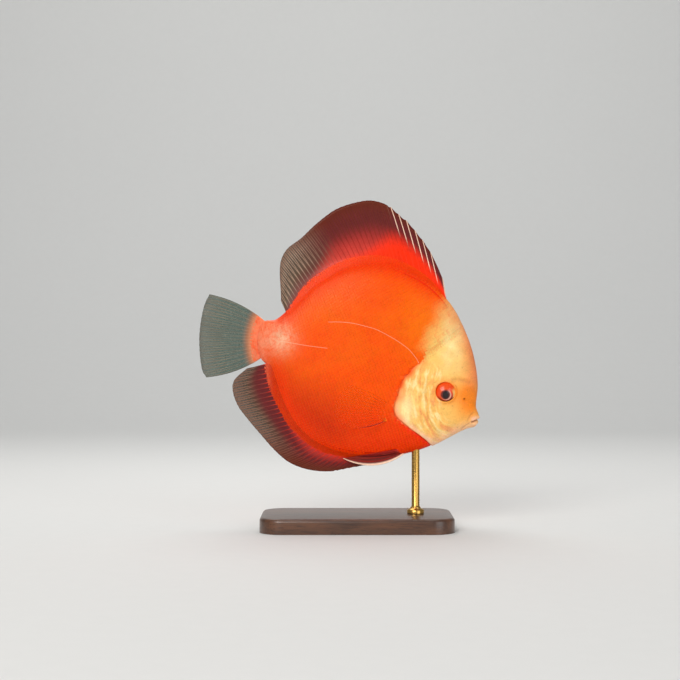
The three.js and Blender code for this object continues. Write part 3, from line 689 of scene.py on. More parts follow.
def add_scales(side, word, sizes, colours):
    """The scales of one flank, each a thin plate whose rear edge lies on the next."""
    draw = np.random.default_rng(11 + side)
    pitch = sizes.scale_pitch / MM
    rows = pitch * 0.575
    count = int(150 / pitch)
    i, j = np.meshgrid(np.arange(-count, count), np.arange(-2 * count, 2 * count))
    a = (i + 0.5 * (j % 2)).ravel() * pitch
    c = j.ravel() * rows
    a = a + 0.012 * c**2 / 10  # the rows of scales bow forwards at the middle of the flank
    x, z, s = flank_from_lattice(a, c)
    keep = (s < 0.999) & (scaled_part(x, z) > 0.04)
    a, c, x, z = a[keep], c[keep], x[keep], z[keep]
    size = 0.35 + 0.65 * scaled_part(x, z)
    size *= 1 + 0.05 * draw.standard_normal(len(a)).clip(-2, 2)
    turn = 0.06 * draw.standard_normal(len(a)).clip(-2, 2)
    form, faces = scale_form(pitch, rows)

    cos, sin = np.cos(turn)[:, None], np.sin(turn)[:, None]
    local_a, local_c = form[None, :, 0] * size[:, None], form[None, :, 1] * size[:, None]
    point_a = a[:, None] + local_a * cos - local_c * sin
    point_c = c[:, None] + local_a * sin + local_c * cos
    px, pz, _ = flank_from_lattice(point_a, point_c)
    low = 0.14 * ramp(0.9, 0.3, size)
    rise = (form[None, :, 2] * sizes.scale_rise / MM - 0.04) * size[:, None] - low[:, None]

    plates, ways = line_plates()
    along = form[None, :, 0] / form[:, 0].max() * LINE_PITCH * 0.72
    across = form[None, :, 1] / form[:, 1].max() * LINE_WIDTH / 2
    px = np.vstack([px, plates[:, :1] + along * ways[:, :1] - across * ways[:, 1:]])
    pz = np.vstack([pz, plates[:, 1:] + along * ways[:, 1:] + across * ways[:, :1]])
    ridge = (form[None, :, 2] * 1.1 * sizes.scale_rise / MM + 0.1) * np.ones((len(plates), 1))
    rise = np.vstack([rise, ridge])
    x, z = np.concatenate([x, plates[:, 0]]), np.concatenate([z, plates[:, 1]])

    reach, _ = rim_at(np.arctan2(pz, px))
    inside = np.minimum(1, 0.999 * reach / np.maximum(np.hypot(px, pz), 1e-9))
    px, pz = px * inside, pz * inside
    normal = surface_normals(x, z, side)[:, None, :]
    at = np.stack([px, side * flank_height(px, pz), pz], axis=-1) + normal * rise[..., None]
    masks = markings(x, z)
    masks["line"] = np.arange(len(x)) >= len(a)
    masks["own"] = draw.random(len(x))
    rear = np.clip(form[:, 0] / form[:, 0].max(), 0, 1)
    join_scales("scales_" + word, at, form, faces, masks, rear, unwrapped(x, z), colours)


# Fins

ROOT_SUNK = 2.6
DORSAL_TIPS = (
    (0, 47.4, 42.4), (0.019, 42.9, 53.1), (0.064, 37.4, 63.1), (0.129, 30.5, 72.3),
    (0.17, 25.5, 78.2), (0.21, 20.9, 81.9), (0.251, 15.6, 86.7), (0.32, 6.6, 90.3),
    (0.4, -2.5, 90.2), (0.5, -17, 85.7), (0.6, -29.1, 77), (0.7, -38.8, 67.9), (0.8, -47.9, 60.6),
    (0.88, -51.6, 51), (1, -50.6, 30),
)
ANAL_TIPS = (
    (0, 10.5, -68.0), (0.1, -7.9, -71.2), (0.2, -21.2, -73.5), (0.3, -34.5, -72.4),
    (0.4, -46.1, -68.0), (0.5, -55.1, -60.4), (0.6, -63.4, -51.0), (0.7, -71.0, -42.0),
    (0.8, -77.3, -33.3), (0.9, -80.3, -23.6), (0.95, -78.8, -17.6), (1, -71.5, -11.2),
)
TAIL_TIPS = (
    (0, -94.5, 33.9), (0.1, -97.2, 28.6), (0.25, -99.4, 20.2), (0.5, -100.8, 8.2),
    (0.75, -100.3, -4.4), (0.9, -98.8, -12.7), (1, -96.4, -16.6),
)
TAIL_ROOTS = ((0, -58.6, 15.4), (0.5, -61.2, 6.9), (1, -60.2, -2.6))
BREAST_TIPS = (
    (0, -7.9, -20.6), (0.2, -14.5, -24.8), (0.4, -18.2, -31.5), (0.6, -18.8, -38.2),
    (0.8, -15.2, -43.6), (1, -6.7, -46.8),
)
BREAST_ROOTS = ((0, 15.6, -33.8), (1, 14.6, -41.4))
BELLY_TIPS = ((0, -13.4, -65.4), (0.25, -11.5, -64.9), (0.6, -4, -63.8), (1, 5.4, -62.2))
BELLY_ROOTS = ((0, 24.2, -61.9), (1, 20.2, -59.6))


# Shares along the roots of the dorsal fin's rays: the first spines stand further apart.
DORSAL_SPREAD = ((0, 0), (0.154, 0.251), (0.274, 0.363), (1, 1))


def outline_root(start, end):
    """A fin root along the outline between two places, sunk into the flesh."""
    first, last = share_near(*start), share_near(*end)

    def root(u):
        rim = outline_at(first + (last - first) * u)
        reach = np.linalg.norm(rim, axis=-1, keepdims=True)
        return rim * (1 - ROOT_SUNK / reach)

    return root


def between(table):
    """A line of the side view as a function of the share along a fin."""
    return lambda u: smooth_table(table, u)


def ray_lines(fin, u, v):
    """Where a point lies among the rays, and how far they have forked there, for the web's colours."""
    soft = np.where(u * (fin.rays - 1) < fin.spines - 0.5, 0.0, 1.0)
    second = fin.branch + 0.3
    return {
        "across": u * (fin.rays - 1),
        "first_fork": 0.22 * soft * np.clip((v - fin.branch) / 0.3, 0, 1),
        "second_fork": 0.11 * soft * np.clip((v - second) / (1 - second), 0, 1),
        "spiny": 1 - soft,
    }


class Fin:
    """A fan of rays between a root and a line of tips: u runs along the root, v out to the tips."""

    def __init__(self, rays, root, tips, lean, bow=None, spines=0, notch=0.0, scallop=0.008, flare=5.0,
                 flare_reach=4.6, thick=1.0, branch=0.42, spread=((0, 0), (1, 1)), snug=False):
        place = between(spread)
        tip_line = between(tips)
        self.root = lambda u: root(place(u)[..., 0])
        self.tips = lambda u: tip_line(place(u)[..., 0])
        self.rays, self.lean, self.snug = rays, lean, snug
        self.bow = bow or (lambda u: 0 * u)
        self.spines, self.notch, self.scallop = spines, notch, scallop
        self.flare, self.flare_reach, self.thick, self.branch = flare, flare_reach, thick, branch

    def length(self, u):
        """The length of the rays in millimetres."""
        return np.linalg.norm(self.tips(u) - self.root(u), axis=-1)

    def thickness(self, u, v, sizes):
        """How thick the web is, flaring towards the body; a snug one meets the flanks without a crease."""
        flare, flare_reach = self.flare, self.flare_reach
        if self.snug:
            root = self.root(u)
            inner = root * (1 - 0.5 / np.linalg.norm(root, axis=-1, keepdims=True))
            height = flank_height(root[..., 0], root[..., 1])
            slope = (flank_height(inner[..., 0], inner[..., 1]) - height) / 0.5
            flare, flare_reach = 2 * height - 0.3, np.clip(height / slope, 3.0, 6.5)
        return sizes.membrane / MM + flare * np.exp(-v * self.length(u) / flare_reach)

    def at(self, u, v):
        """Points x, y, z in millimetres about the flank's middle."""
        u, v = np.broadcast_arrays(np.asarray(u, float), np.asarray(v, float))
        root, tip = self.root(u), self.tips(u)
        part = (u * (self.rays - 1)) % 1
        web = np.sin(math.pi * part)
        spiny = u * (self.rays - 1) < self.spines - 0.5
        reach = v * (1 - np.where(spiny, self.notch, self.scallop) * web * v)
        step = tip - root
        bend = self.bow(u) * 4 * reach * (1 - reach)
        x = root[..., 0] + step[..., 0] * reach + step[..., 1] * bend
        z = root[..., 1] + step[..., 1] * reach - step[..., 0] * bend
        return np.stack([x, self.lean(u, v, x, z), z], axis=-1)


def add_membrane(name, fin, masks_of, material, slot, sizes, *nodes):
    """The web of a fin: a grid laid between root and tips, made solid and thick at its root."""
    columns, rows = (fin.rays - 1) * 6, 30
    deselect()
    bpy.ops.mesh.primitive_grid_add(x_subdivisions=columns, y_subdivisions=rows, size=2)
    web = named(name)
    flat = points_of(web)
    u, v = flat[:, 0] / 2 + 0.5, (flat[:, 1] / 2 + 0.5) ** 1.15
    at = fin.at(u, v)
    set_points(web, in_place(at[:, 0], at[:, 1], at[:, 2]))
    mark(web, {**masks_of(u, v, at[:, 0], at[:, 2]), **ray_lines(fin, u, v)})
    thickness = fin.thickness(u, v, sizes)
    group = web.vertex_groups.new(name="thickness")
    most = float(thickness.max())
    for index, share in enumerate(thickness / most):
        group.add((index,), float(share), "REPLACE")
    solid = web.modifiers.new("Thickness", "SOLIDIFY")
    solid.thickness, solid.offset = most * MM, 0
    solid.vertex_group = group.name
    solid.use_rim = True
    bpy.ops.object.modifier_apply(modifier=solid.name)
    web.vertex_groups.clear()
    face_outwards(web)
    return finish_piece(web, material, slot, *nodes)


def tube(path, radii, sides=6):
    """A closed tapered tube along a path of points, as points and faces."""
    path = np.asarray(path)
    ahead = np.gradient(path, axis=0)
    ahead /= np.linalg.norm(ahead, axis=1)[:, None]
    across = np.cross(ahead, (0.0, 1.0, 0.0))
    across /= np.linalg.norm(across, axis=1)[:, None]
    up = np.cross(across, ahead)
    turn = 2 * math.pi * np.arange(sides) / sides
    ring = np.cos(turn)[None, :, None] * across[:, None, :] + np.sin(turn)[None, :, None] * up[:, None, :]
    points = path[:, None, :] + ring * np.asarray(radii)[:, None, None]
    points = np.vstack([points.reshape(-1, 3), path[:1], path[-1:]])
    steps = len(path)
    faces = []
    for k in range(steps - 1):
        for m in range(sides):
            n = (m + 1) % sides
            faces.append((k * sides + m, k * sides + n, (k + 1) * sides + n, (k + 1) * sides + m))
    first, last = steps * sides, steps * sides + 1
    for m in range(sides):
        n = (m + 1) % sides
        faces.append((first, n, m))
        faces.append((last, (steps - 1) * sides + m, (steps - 1) * sides + n))
    return points, faces


def ray_strands(fin, index, sizes):
    """The strands of one ray: (u along, v along, radii). Soft rays fork twice on their way out."""
    spiny = index < fin.spines
    middle = index / (fin.rays - 1)
    gap = 1 / (fin.rays - 1)
    root_radius = (sizes.spine if spiny else sizes.soft_ray) / MM / 2 * fin.thick
    if spiny:
        v = np.linspace(0, 1.0, 14)
        return [(np.full_like(v, middle), v, root_radius * (1 - 0.75 * v**2))]
    strands = []
    first, second = fin.branch, fin.branch + 0.3
    v = np.linspace(0, first, 9)
    strands.append((np.full_like(v, middle), v, root_radius * (1 - 0.55 * v)))
    for outer in (-1, 1):
        v = np.linspace(first - 0.02, second, 7)
        open_up = (v - v[0]) / (v[-1] - v[0])
        u = middle + outer * gap * 0.22 * open_up
        strands.append((u, v, root_radius * (0.62 - 0.25 * open_up)))
        for inner in (-1, 1):
            v2 = np.linspace(second - 0.015, 0.995, 7)
            open_up = (v2 - v2[0]) / (v2[-1] - v2[0])
            u = middle + outer * gap * 0.22 + inner * gap * 0.11 * open_up
            strands.append((u, v2, root_radius * (0.36 - 0.2 * open_up)))
    return [(np.clip(u, 0, 1), v, r) for u, v, r in strands]


def add_rays(name, fin, masks_of, material, slot, sizes):
    """The rays of a fin, each a bundle of tapering strands inside the web."""
    points, faces, all_u, all_v, run = [], [], [], [], []
    start = 0
    for index in range(fin.rays):
        for u, v, radii in ray_strands(fin, index, sizes):
            path = fin.at(u, v)
            new_points, new_faces = tube(path, radii)
            points.append(new_points)
            faces += [tuple(start + k for k in face) for face in new_faces]
            start += len(new_points)
            along = np.concatenate([[0], np.cumsum(np.linalg.norm(np.diff(path, axis=0), axis=1))])
            along += v[0] * 30
            all_u.append(np.concatenate([np.repeat(u, 6), u[[0, -1]]]))
            all_v.append(np.concatenate([np.repeat(v, 6), v[[0, -1]]]))
            run.append(np.concatenate([np.repeat(along, 6), along[[0, -1]]]))
    points = np.vstack(points)
    rays = mesh_piece(name, in_place(points[:, 0], points[:, 1], points[:, 2]), faces)
    masks = masks_of(np.concatenate(all_u), np.concatenate(all_v), points[:, 0], points[:, 2])
    masks["joint"] = np.concatenate(run)
    mark(rays, masks)
    face_outwards(rays)
    return finish_piece(rays, material, slot)


def add_root_scales(name, fin, tint, start, sizes, colours):
    """Small scales that run from the body onto the root of a fin, on both its faces."""
    draw = np.random.default_rng(5)
    even = np.linspace(0, 1, 200)
    run = np.concatenate([[0], np.cumsum(np.linalg.norm(np.diff(fin.at(even, 0.1), axis=0), axis=1))])
    form, faces = scale_form(1.0, 0.62)
    blocks = []
    for side in (RIGHT, LEFT):
        away, pitch = start, 2.1
        odd = False
        while pitch > 0.85:
            along = np.arange(0.6 * pitch if odd else 0.1 * pitch, run[-1], pitch)
            u = np.interp(along, run, even)
            blocks.append(np.column_stack([
                u, away + 0.15 * draw.standard_normal(len(u)).clip(-2, 2), 0 * u + pitch, 0 * u + side]))
            away, pitch, odd = away + 0.55 * pitch, pitch * 0.925, not odd
    blocks = np.vstack(blocks)
    blocks = blocks[blocks[:, 1] < 0.27 * fin.length(blocks[:, 0])]
    u, away, pitch, side = blocks.T[:, :, None]
    pu = np.clip(u + form[:, 1] * pitch / run[-1], 0, 1)
    pv = (away + form[:, 0] * pitch) / fin.length(pu)
    at = fin.at(pu, pv)
    outer = np.maximum(ramp(start + 4.5, start + 8.5, away), ramp(0.12, 0.26, away / fin.length(u)))
    low = 0.06 + 0.16 * outer
    at[..., 1] += side * (fin.thickness(pu, pv, sizes) / 2 + form[:, 2] * 0.085 * pitch - low)
    x, z = at[:, -2, 0], at[:, -2, 2]
    masks = markings(x, z)
    masks["red"] = np.maximum(masks["red"], outer[:, 0])
    for key, least in tint.items():
        masks[key] = np.maximum(masks[key], least)
    masks["ember"] = masks["ember"] * (1 - 0.6 * outer[:, 0]) * (1 - tint.get("red", 0))
    masks["line"] = 0 * x
    masks["own"] = draw.random(len(x))
    rear = np.clip(form[:, 0] / form[:, 0].max(), 0, 1)
    join_scales(name, at, form, faces, masks, rear, unwrapped(x, z), colours)


def dorsal_masks(u, v, x, z):
    """Where the dorsal fin is red, brown, clear or pale."""
    front = ramp(0.45, 0.12, u)
    hind = ramp(0.5, 0.8, u)
    return {
        "ember": ramp(0.27 - 0.06 * hind + 0.46 * front, 0.1 + 0.22 * front, v),
        "ray_ember": ramp(0.26 - 0.02 * hind + 0.4 * front, 0.1 + 0.2 * front, v),
        "rose": ramp(0.72 - 0.45 * hind, 0.16 - 0.1 * hind, v),
        "ray_rose": ramp(0.66 - 0.36 * hind + 0.1 * front, 0.26 - 0.2 * hind, v),
        "umber": ramp(0.8, 1.0, v),
        "ray_umber": ramp(0.3, 0.75, v),
        "clear": ramp(0.2, 0.55, v) * hind,
        "ray_clear": ramp(0.16, 0.4, v) * hind * (1 - 0.5 * ramp(0.8, 1, v)),
        "bone": ramp(0, 0.2, v - 0.24 - 0.3 * u / 0.15) * ramp(0.172, 0.162, u),
        "solid": 0.97 - 0.2 * ramp(0.3, 0.9, v) * hind - 0.04 * ramp(0.5, 1, v),
    }


def anal_masks(u, v, x, z):
    """Where the anal fin is red, brown, clear or pale."""
    hind = ramp(0.35, 0.7, u)
    return {
        "ember": ramp(0.3 - 0.08 * hind, 0.12, v),
        "ray_ember": ramp(0.5 - 0.16 * hind, 0.16, v),
        "rose": ramp(0.6 - 0.36 * hind, 0.2 - 0.1 * hind, v) * (0.8 - 0.4 * hind),
        "ray_rose": ramp(0.9 - 0.4 * hind, 0.4 - 0.2 * hind, v),
        "umber": ramp(0.5, 0.9, v) * (1 - 0.6 * hind),
        "ray_umber": ramp(0.4, 0.8, v),
        "clear": ramp(0.4, 0.72, v) * hind,
        "ray_clear": ramp(0.45, 0.7, v) * hind * 0.45,
        "bone": ramp(0.8, 1, v) * ramp(0.1, 0.03, u) * 0.4,
        "solid": 0.97 - 0.3 * ramp(0.45, 0.95, v) * hind,
    }


def tail_masks(u, v, x, z):
    """Where the tail fin is pinkish at its root and clear beyond."""
    return {
        "clear": ramp(0.14, 0.36, v),
        "ray_clear": 0.5 * ramp(0.14, 0.36, v),
        "umber": 0.2 * ramp(0.93, 1, v),
        "pearl": 0.35 * ramp(0.3, 0.12, v),
        "solid": 0.95 - 0.2 * ramp(0.08, 0.3, v) - 0.13 * ramp(0.6, 1, v),
    }


def breast_masks(u, v, x, z):
    """Where a breast fin is orange at its root, and dark along its lower edge."""
    lower = ramp(0.9, 1, u)
    return {
        "rose": 0.9 * lower,
        "umber": 0.3 * lower,
        "pearl": 0 * v,
        "glow": ramp(0.22, 0.1, v),
        "solid": 0.02 + 0.5 * ramp(0.6, 0.95, u) * ramp(0.2, 0.08, v) + 0.5 * lower * ramp(0.9, 0.5, v),
    }


def belly_masks(u, v, x, z):
    """Where a belly fin is pale along its spine, and dark red in its folds."""
    return {
        "ember": ramp(0.15, 0.0, v) * ramp(0.2, 0.5, u),
        "ray_ember": ramp(0.15, 0.0, v) * ramp(0.2, 0.5, u),
        "rose": 0.8 * ramp(0.5, 1, u) + 0.1,
        "ray_rose": 0.8 + 0 * v,
        "umber": ramp(0.1, 0.3, u) * ramp(0.8, 0.4, u) * 0.5,
        "ray_umber": 0.4 + 0 * v,
        "clear": 0.0 * v,
        "ray_clear": 0.0 * v,
        "bone": ramp(0.13, 0.02, u),
        "solid": 0.95 - 0.1 * ramp(0.5, 1, v),
    }


def dorsal_fin():
    return Fin(
        40, outline_root((52.4, 28.6), (-49.3, 21.6)), DORSAL_TIPS,
        lambda u, v, x, z: 2.2 * u**3 * v**2, bow=lambda u: 0.02 * ramp(0, 0.3, u), spines=7,
        notch=0.025, scallop=0.003, spread=DORSAL_SPREAD, snug=True,
    )


def anal_fin():
    return Fin(
        37, outline_root((14.5, -64.2), (-60.2, -8.6)), ANAL_TIPS,
        lambda u, v, x, z: -1.8 * u**3 * v**2, bow=lambda u: -0.05 * (1 - u), spines=7, notch=0.05,
        scallop=0.004, snug=True,
    )


def tail_fin():
    return Fin(
        16, between(TAIL_ROOTS), TAIL_TIPS,
        lambda u, v, x, z: 3.6 * v**2 * (0.6 + 0.4 * np.sin(math.pi * u)),
        bow=lambda u: 0.14 * (0.5 - u) * np.abs(2 * u - 1), flare=3.0, flare_reach=5.5, thick=0.8,
        branch=0.25, scallop=0.003,
    )


def breast_fin(side):
    def lean(u, v, x, z):
        root = smooth_table(BREAST_ROOTS, u)
        height = flank_height(root[..., 0], root[..., 1]) - 1.6
        return side * (height + 9 * v + 1.8 * np.sin(math.pi * v))

    return Fin(12, between(BREAST_ROOTS), BREAST_TIPS, lean, bow=lambda u: 0.05 * (1 - 2 * u),
               flare=0.9, flare_reach=3.0, thick=0.55, branch=0.35)


def belly_fin(side):
    def lean(u, v, x, z):
        out = np.maximum(3.1, flank_height(x, z) + 1.15)
        return side * (out - np.clip(1 - v / 0.14, 0, 1) * 2.35)

    return Fin(6, between(BELLY_ROOTS), BELLY_TIPS, lean, bow=lambda u: -0.15 * np.clip(1 - u, 0, 1) ** 1.5,
               spines=1, flare=0.7, flare_reach=3.0, branch=0.5)


# Eyes


def add_eye(side, word, colours):
    """A domed eyeball, with its rings of colour held as distances from eye and pupil."""
    deselect()
    bpy.ops.mesh.primitive_uv_sphere_add(segments=72, ring_count=48, radius=1)
    eye = named("eyeball_" + word)
    unit = points_of(eye)
    radius_x, half_depth, radius_z = EYE_SIZE
    x, z, up = unit[:, 0] * radius_x, unit[:, 1] * radius_z, unit[:, 2]
    pupil_x, pupil_z = PUPIL_AT[0] - EYE_AT[0], PUPIL_AT[1] - EYE_AT[1]
    from_pupil = np.hypot(x - pupil_x, z - pupil_z)
    depth = half_depth * up + np.where(up > 0, 0.3 * bell(from_pupil, 3.2) - 0.3, 0)
    y = side * (EYE_OUT - half_depth + depth)
    set_points(eye, in_place(x + EYE_AT[0], y, z + EYE_AT[1]))
    face_outwards(eye)
    turn = np.arctan2(z - pupil_z, x - pupil_x)
    front = np.clip(np.cos(turn + 0.35), 0, 1)
    low = np.clip(np.cos(turn + 1.2), 0, 1)
    mark(eye, {
        "pupil": ramp(2.05, 1.75, from_pupil / (1 + 0.22 * np.sin(turn) ** 2)),
        "rim_dark": np.clip(0.95 * ramp(3.4, 2.6, from_pupil) + 0.9 * low * bell(from_pupil - 4.0, 0.6)
                            + 0.7 * ramp(-2.0, -4.8, z) * ramp(3.4, 4.4, from_pupil), 0, 1),
        "ring": 0.85 * bell(from_pupil - 2.95 - 0.1 * low, 0.14 + 0.16 * front) * np.maximum(front, 0.8 * low),
        "pale": ramp(4.3, 4.9, from_pupil) * ramp(0.62, 0.96, np.cos(turn + 0.1)),
        "turn": turn,
        "away": from_pupil,
    })
    finish_piece(eye, eye_material(colours), "eye", "eye_" + word)


# Stand


def add_base(sizes, colours):
    """The flat base, its corners rounded and its top edge softened."""
    low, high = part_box("stand_base")
    deselect()
    bpy.ops.mesh.primitive_cube_add(size=1, location=(0, 0, 0))
    base = named("display_base")
    set_points(base, points_of(base) * np.array(high - low) + np.array((low + high) / 2))
    bpy.ops.object.mode_set(mode="EDIT")
    bpy.ops.mesh.select_mode(type="EDGE")
    bpy.ops.mesh.select_all(action="DESELECT")
    bpy.ops.object.mode_set(mode="OBJECT")
    places = points_of(base)
    for edge in base.data.edges:
        a, b = (places[k] for k in edge.vertices)
        edge.select = abs(a[2] - b[2]) > MM
    bpy.ops.object.mode_set(mode="EDIT")
    bpy.ops.mesh.bevel(offset=sizes.base_corner, segments=12, profile=0.5)
    bpy.ops.mesh.select_all(action="DESELECT")
    bpy.ops.object.mode_set(mode="OBJECT")
    places = points_of(base)
    for edge in base.data.edges:
        edge.select = all(places[k][2] > high.z - MM / 10 for k in edge.vertices)
    bpy.ops.object.mode_set(mode="EDIT")
    bpy.ops.mesh.bevel(offset=sizes.base_bevel, segments=4, profile=0.5)
    bpy.ops.object.mode_set(mode="OBJECT")
    finish_piece(base, wood_material(colours), "stand_wood", "stand_base")
    bpy.ops.object.shade_smooth_by_angle(angle=math.radians(35))


def add_rod(colours):
    """The rod and its collar, drawn up from a disc ring by ring."""
    low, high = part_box("stand_rod")
    middle = (low + high) / 2
    radius = 2.4 * MM
    collar = (high.x - low.x) / 2
    top = high.z + 1.2 * MM
    deselect()
    bpy.ops.mesh.primitive_circle_add(vertices=48, radius=collar, fill_type="NGON",
                                      location=(0, 0, 0))
    rod = named("display_rod")
    set_points(rod, points_of(rod) + np.array([middle.x, middle.y, low.z]))
    profile = ((collar, 1.9), (collar * 0.94, 2.3), (collar * 0.62, 3.1), (collar * 0.6, 3.6),
               (radius * 1.12, 3.9), (radius, 4.4), (radius, (top - low.z) / MM))
    bpy.ops.object.mode_set(mode="EDIT")
    bpy.ops.mesh.select_all(action="SELECT")
    last_radius, last_height = collar, 0.0
    for ring_radius, height in profile:
        share = ring_radius / last_radius
        bpy.ops.mesh.extrude_region_move(
            TRANSFORM_OT_translate={"value": (0, 0, (height - last_height) * MM)})
        bpy.ops.transform.resize(value=(share, share, 1),
                                 center_override=(middle.x, middle.y, low.z + height * MM))
        last_radius, last_height = ring_radius, height
    bpy.ops.object.mode_set(mode="OBJECT")
    face_outwards(rod)
    finish_piece(rod, brass_material(colours), "stand_brass", "stand_rod")
    bpy.ops.object.shade_smooth_by_angle(angle=math.radians(40))


# Materials


def new_group(name, inputs, outputs):
    """A shader node group with named sockets: (name, socket type, default)."""
    group = bpy.data.node_groups.get(name)
    if group:
        return group, None, None
    group = bpy.data.node_groups.new(name, "ShaderNodeTree")
    for socket_name, kind, default in inputs:
        socket = group.interface.new_socket(socket_name, in_out="INPUT", socket_type=kind)
        if default is not None:
            socket.default_value = default
    for socket_name, kind in outputs:
        group.interface.new_socket(socket_name, in_out="OUTPUT", socket_type=kind)
    return group, group.nodes.new("NodeGroupInput"), group.nodes.new("NodeGroupOutput")


def add_node(tree, kind, links=None, **settings):
    """A node with its settings, and its inputs set to values or linked from sockets."""
    node = tree.nodes.new(kind)
    for key, value in settings.items():
        setattr(node, key, value)
    for key, value in (links or {}).items():
        socket = node.inputs[key]
        if isinstance(value, bpy.types.NodeSocket):
            tree.links.new(value, socket)
        else:
            socket.default_value = value
    return node


def mix_colours(tree, factor, first, second, blend="MIX"):
    """The colour between two colours."""
    mix = add_node(tree, "ShaderNodeMix", {0: factor, 6: first, 7: second}, data_type="RGBA",
                   blend_type=blend)
    return mix.outputs[2]


def calculate(tree, operation, first, second=0.0, third=0.0, clamp=False):
    """The result of a sum on sockets or values."""
    node = add_node(tree, "ShaderNodeMath", {0: first, 1: second, 2: third}, operation=operation,
                    use_clamp=clamp)
    return node.outputs[0]


def object_place(tree):
    """Object coordinates."""
    return tree.nodes.new("ShaderNodeTexCoord").outputs["Object"]


def noise(tree, place, size, detail=3.0, rough=0.55):
    """Noise from 0 to 1 whose lumps are about so many metres across."""
    node = add_node(tree, "ShaderNodeTexNoise",
                    {"Vector": place, "Scale": 1 / size, "Detail": detail, "Roughness": rough})
    return node.outputs["Fac"]


def layers_group(count=11):
    """Paints laid over a ground colour, each where its mask says."""
    inputs = [("Ground", "NodeSocketColor", (1, 1, 1, 1))]
    for k in range(1, count + 1):
        inputs.append((f"Paint {k}", "NodeSocketColor", (1, 1, 1, 1)))
        inputs.append((f"Mask {k}", "NodeSocketFloat", 0.0))
    group, start, end = new_group("Layers of paint", inputs, [("Color", "NodeSocketColor")])
    if start:
        colour = start.outputs["Ground"]
        for k in range(1, count + 1):
            colour = mix_colours(group, start.outputs[f"Mask {k}"], colour, start.outputs[f"Paint {k}"])
        group.links.new(colour, end.inputs["Color"])
    return group


def mottle_group():
    """Lightens and darkens a colour in soft blotches and fine grains."""
    group, start, end = new_group(
        "Mottled paint",
        [("Color", "NodeSocketColor", (1, 1, 1, 1)), ("Blotch size", "NodeSocketFloat", 0.006),
         ("Grain size", "NodeSocketFloat", 0.0008), ("Amount", "NodeSocketFloat", 0.2)],
        [("Color", "NodeSocketColor"), ("Grain", "NodeSocketFloat")],
    )
    if start:
        place = object_place(group)
        maps = []
        for socket in ("Blotch size", "Grain size"):
            scale = calculate(group, "DIVIDE", 1.0, start.outputs[socket])
            node = add_node(group, "ShaderNodeTexNoise", {"Vector": place, "Scale": scale, "Detail": 3.0})
            maps.append(node.outputs["Fac"])
        both = calculate(group, "ADD", maps[0], maps[1])
        swing = calculate(group, "MULTIPLY", calculate(group, "SUBTRACT", both, 1.0),
                          start.outputs["Amount"])
        value = calculate(group, "ADD", swing, 1.0)
        tinted = add_node(group, "ShaderNodeHueSaturation",
                          {"Value": value, "Color": start.outputs["Color"]})
        group.links.new(tinted.outputs["Color"], end.inputs["Color"])
        group.links.new(maps[1], end.inputs["Grain"])
    return group


def grain_group():
    """The fine unevenness of wet skin, as a normal."""
    group, start, end = new_group(
        "Wet grain",
        [("Size", "NodeSocketFloat", 0.0006), ("Depth", "NodeSocketFloat", 0.2),
         ("Height", "NodeSocketFloat", 0.0)],
        [("Normal", "NodeSocketVector")],
    )
    if start:
        place = object_place(group)
        scale = calculate(group, "DIVIDE", 1.0, start.outputs["Size"])
        fine = add_node(group, "ShaderNodeTexNoise", {"Vector": place, "Scale": scale, "Detail": 4.0})
        height = calculate(group, "ADD", fine.outputs["Fac"], start.outputs["Height"])
        bump = add_node(group, "ShaderNodeBump",
                        {"Height": height, "Strength": start.outputs["Depth"], "Distance": 0.0002})
        group.links.new(bump.outputs["Normal"], end.inputs["Normal"])
    return group


def attribute(tree, name):
    """One of the masks that a piece carries."""
    return add_node(tree, "ShaderNodeAttribute", attribute_name=name).outputs["Fac"]


def place_group(tree, group, links):
    """A node group placed in a material with its own values."""
    node = tree.nodes.new("ShaderNodeGroup")
    node.node_tree = group
    for key, value in links.items():
        socket = node.inputs[key]
        if isinstance(value, bpy.types.NodeSocket):
            tree.links.new(value, socket)
        else:
            socket.default_value = value
    return node


def solid_paint(colour):
    """A colour property as a socket's value."""
    return (*colour, 1.0)


WARM = (1.0, 0.6, 0.36, 1.0)  # the tint of the fish's own highlights


def new_material(name, **constants):
    """A material with one Principled shader, and the shader's even values."""
    material = bpy.data.materials.new(name)
    material.use_nodes = True
    tree = material.node_tree
    shader = tree.nodes["Principled BSDF"]
    for key, value in constants.items():
        shader.inputs[key.replace("_", " ")].default_value = value
    return material, tree, shader


def layered(tree, colours, ground, layers):
    """The colour of paints laid over a ground, each by the mask of its name or by a socket."""
    links = {"Ground": solid_paint(getattr(colours, ground))}
    for k, (paint_name, mask) in enumerate(layers, start=1):
        links[f"Paint {k}"] = solid_paint(getattr(colours, paint_name))
        links[f"Mask {k}"] = attribute(tree, mask) if isinstance(mask, str) else mask
    return place_group(tree, layers_group(), links).outputs["Color"]


def body_colour(tree, colours, streaks=()):
    """The body's markings, with their painted shade and painted highlight, shared by skin and scales."""
    place = object_place(tree)
    glow = calculate(tree, "MULTIPLY_ADD", noise(tree, place, 0.022, 1.0), 1.6, -0.68, clamp=True)
    glow = calculate(tree, "MAXIMUM", calculate(tree, "MULTIPLY", glow, 0.6), attribute(tree, "glow"))
    speckles = calculate(tree, "MULTIPLY_ADD", noise(tree, place, 0.0022), 2.4, -0.35, clamp=True)
    pearl = calculate(tree, "MULTIPLY", attribute(tree, "pearl"), speckles)
    # The band layer also carries a painted highlight on the gill cover, and the last layer is painted shade in
    # the folds and pits.
    return layered(tree, colours, "orange", (
        ("glow", glow), ("red", "red"), ("ember", "ember"), ("cream", "cream"), ("snout", "snout"),
        ("blush", "brow"), *streaks, ("band", "pale"), ("pearl", pearl), ("shade", "shade"),
    ))


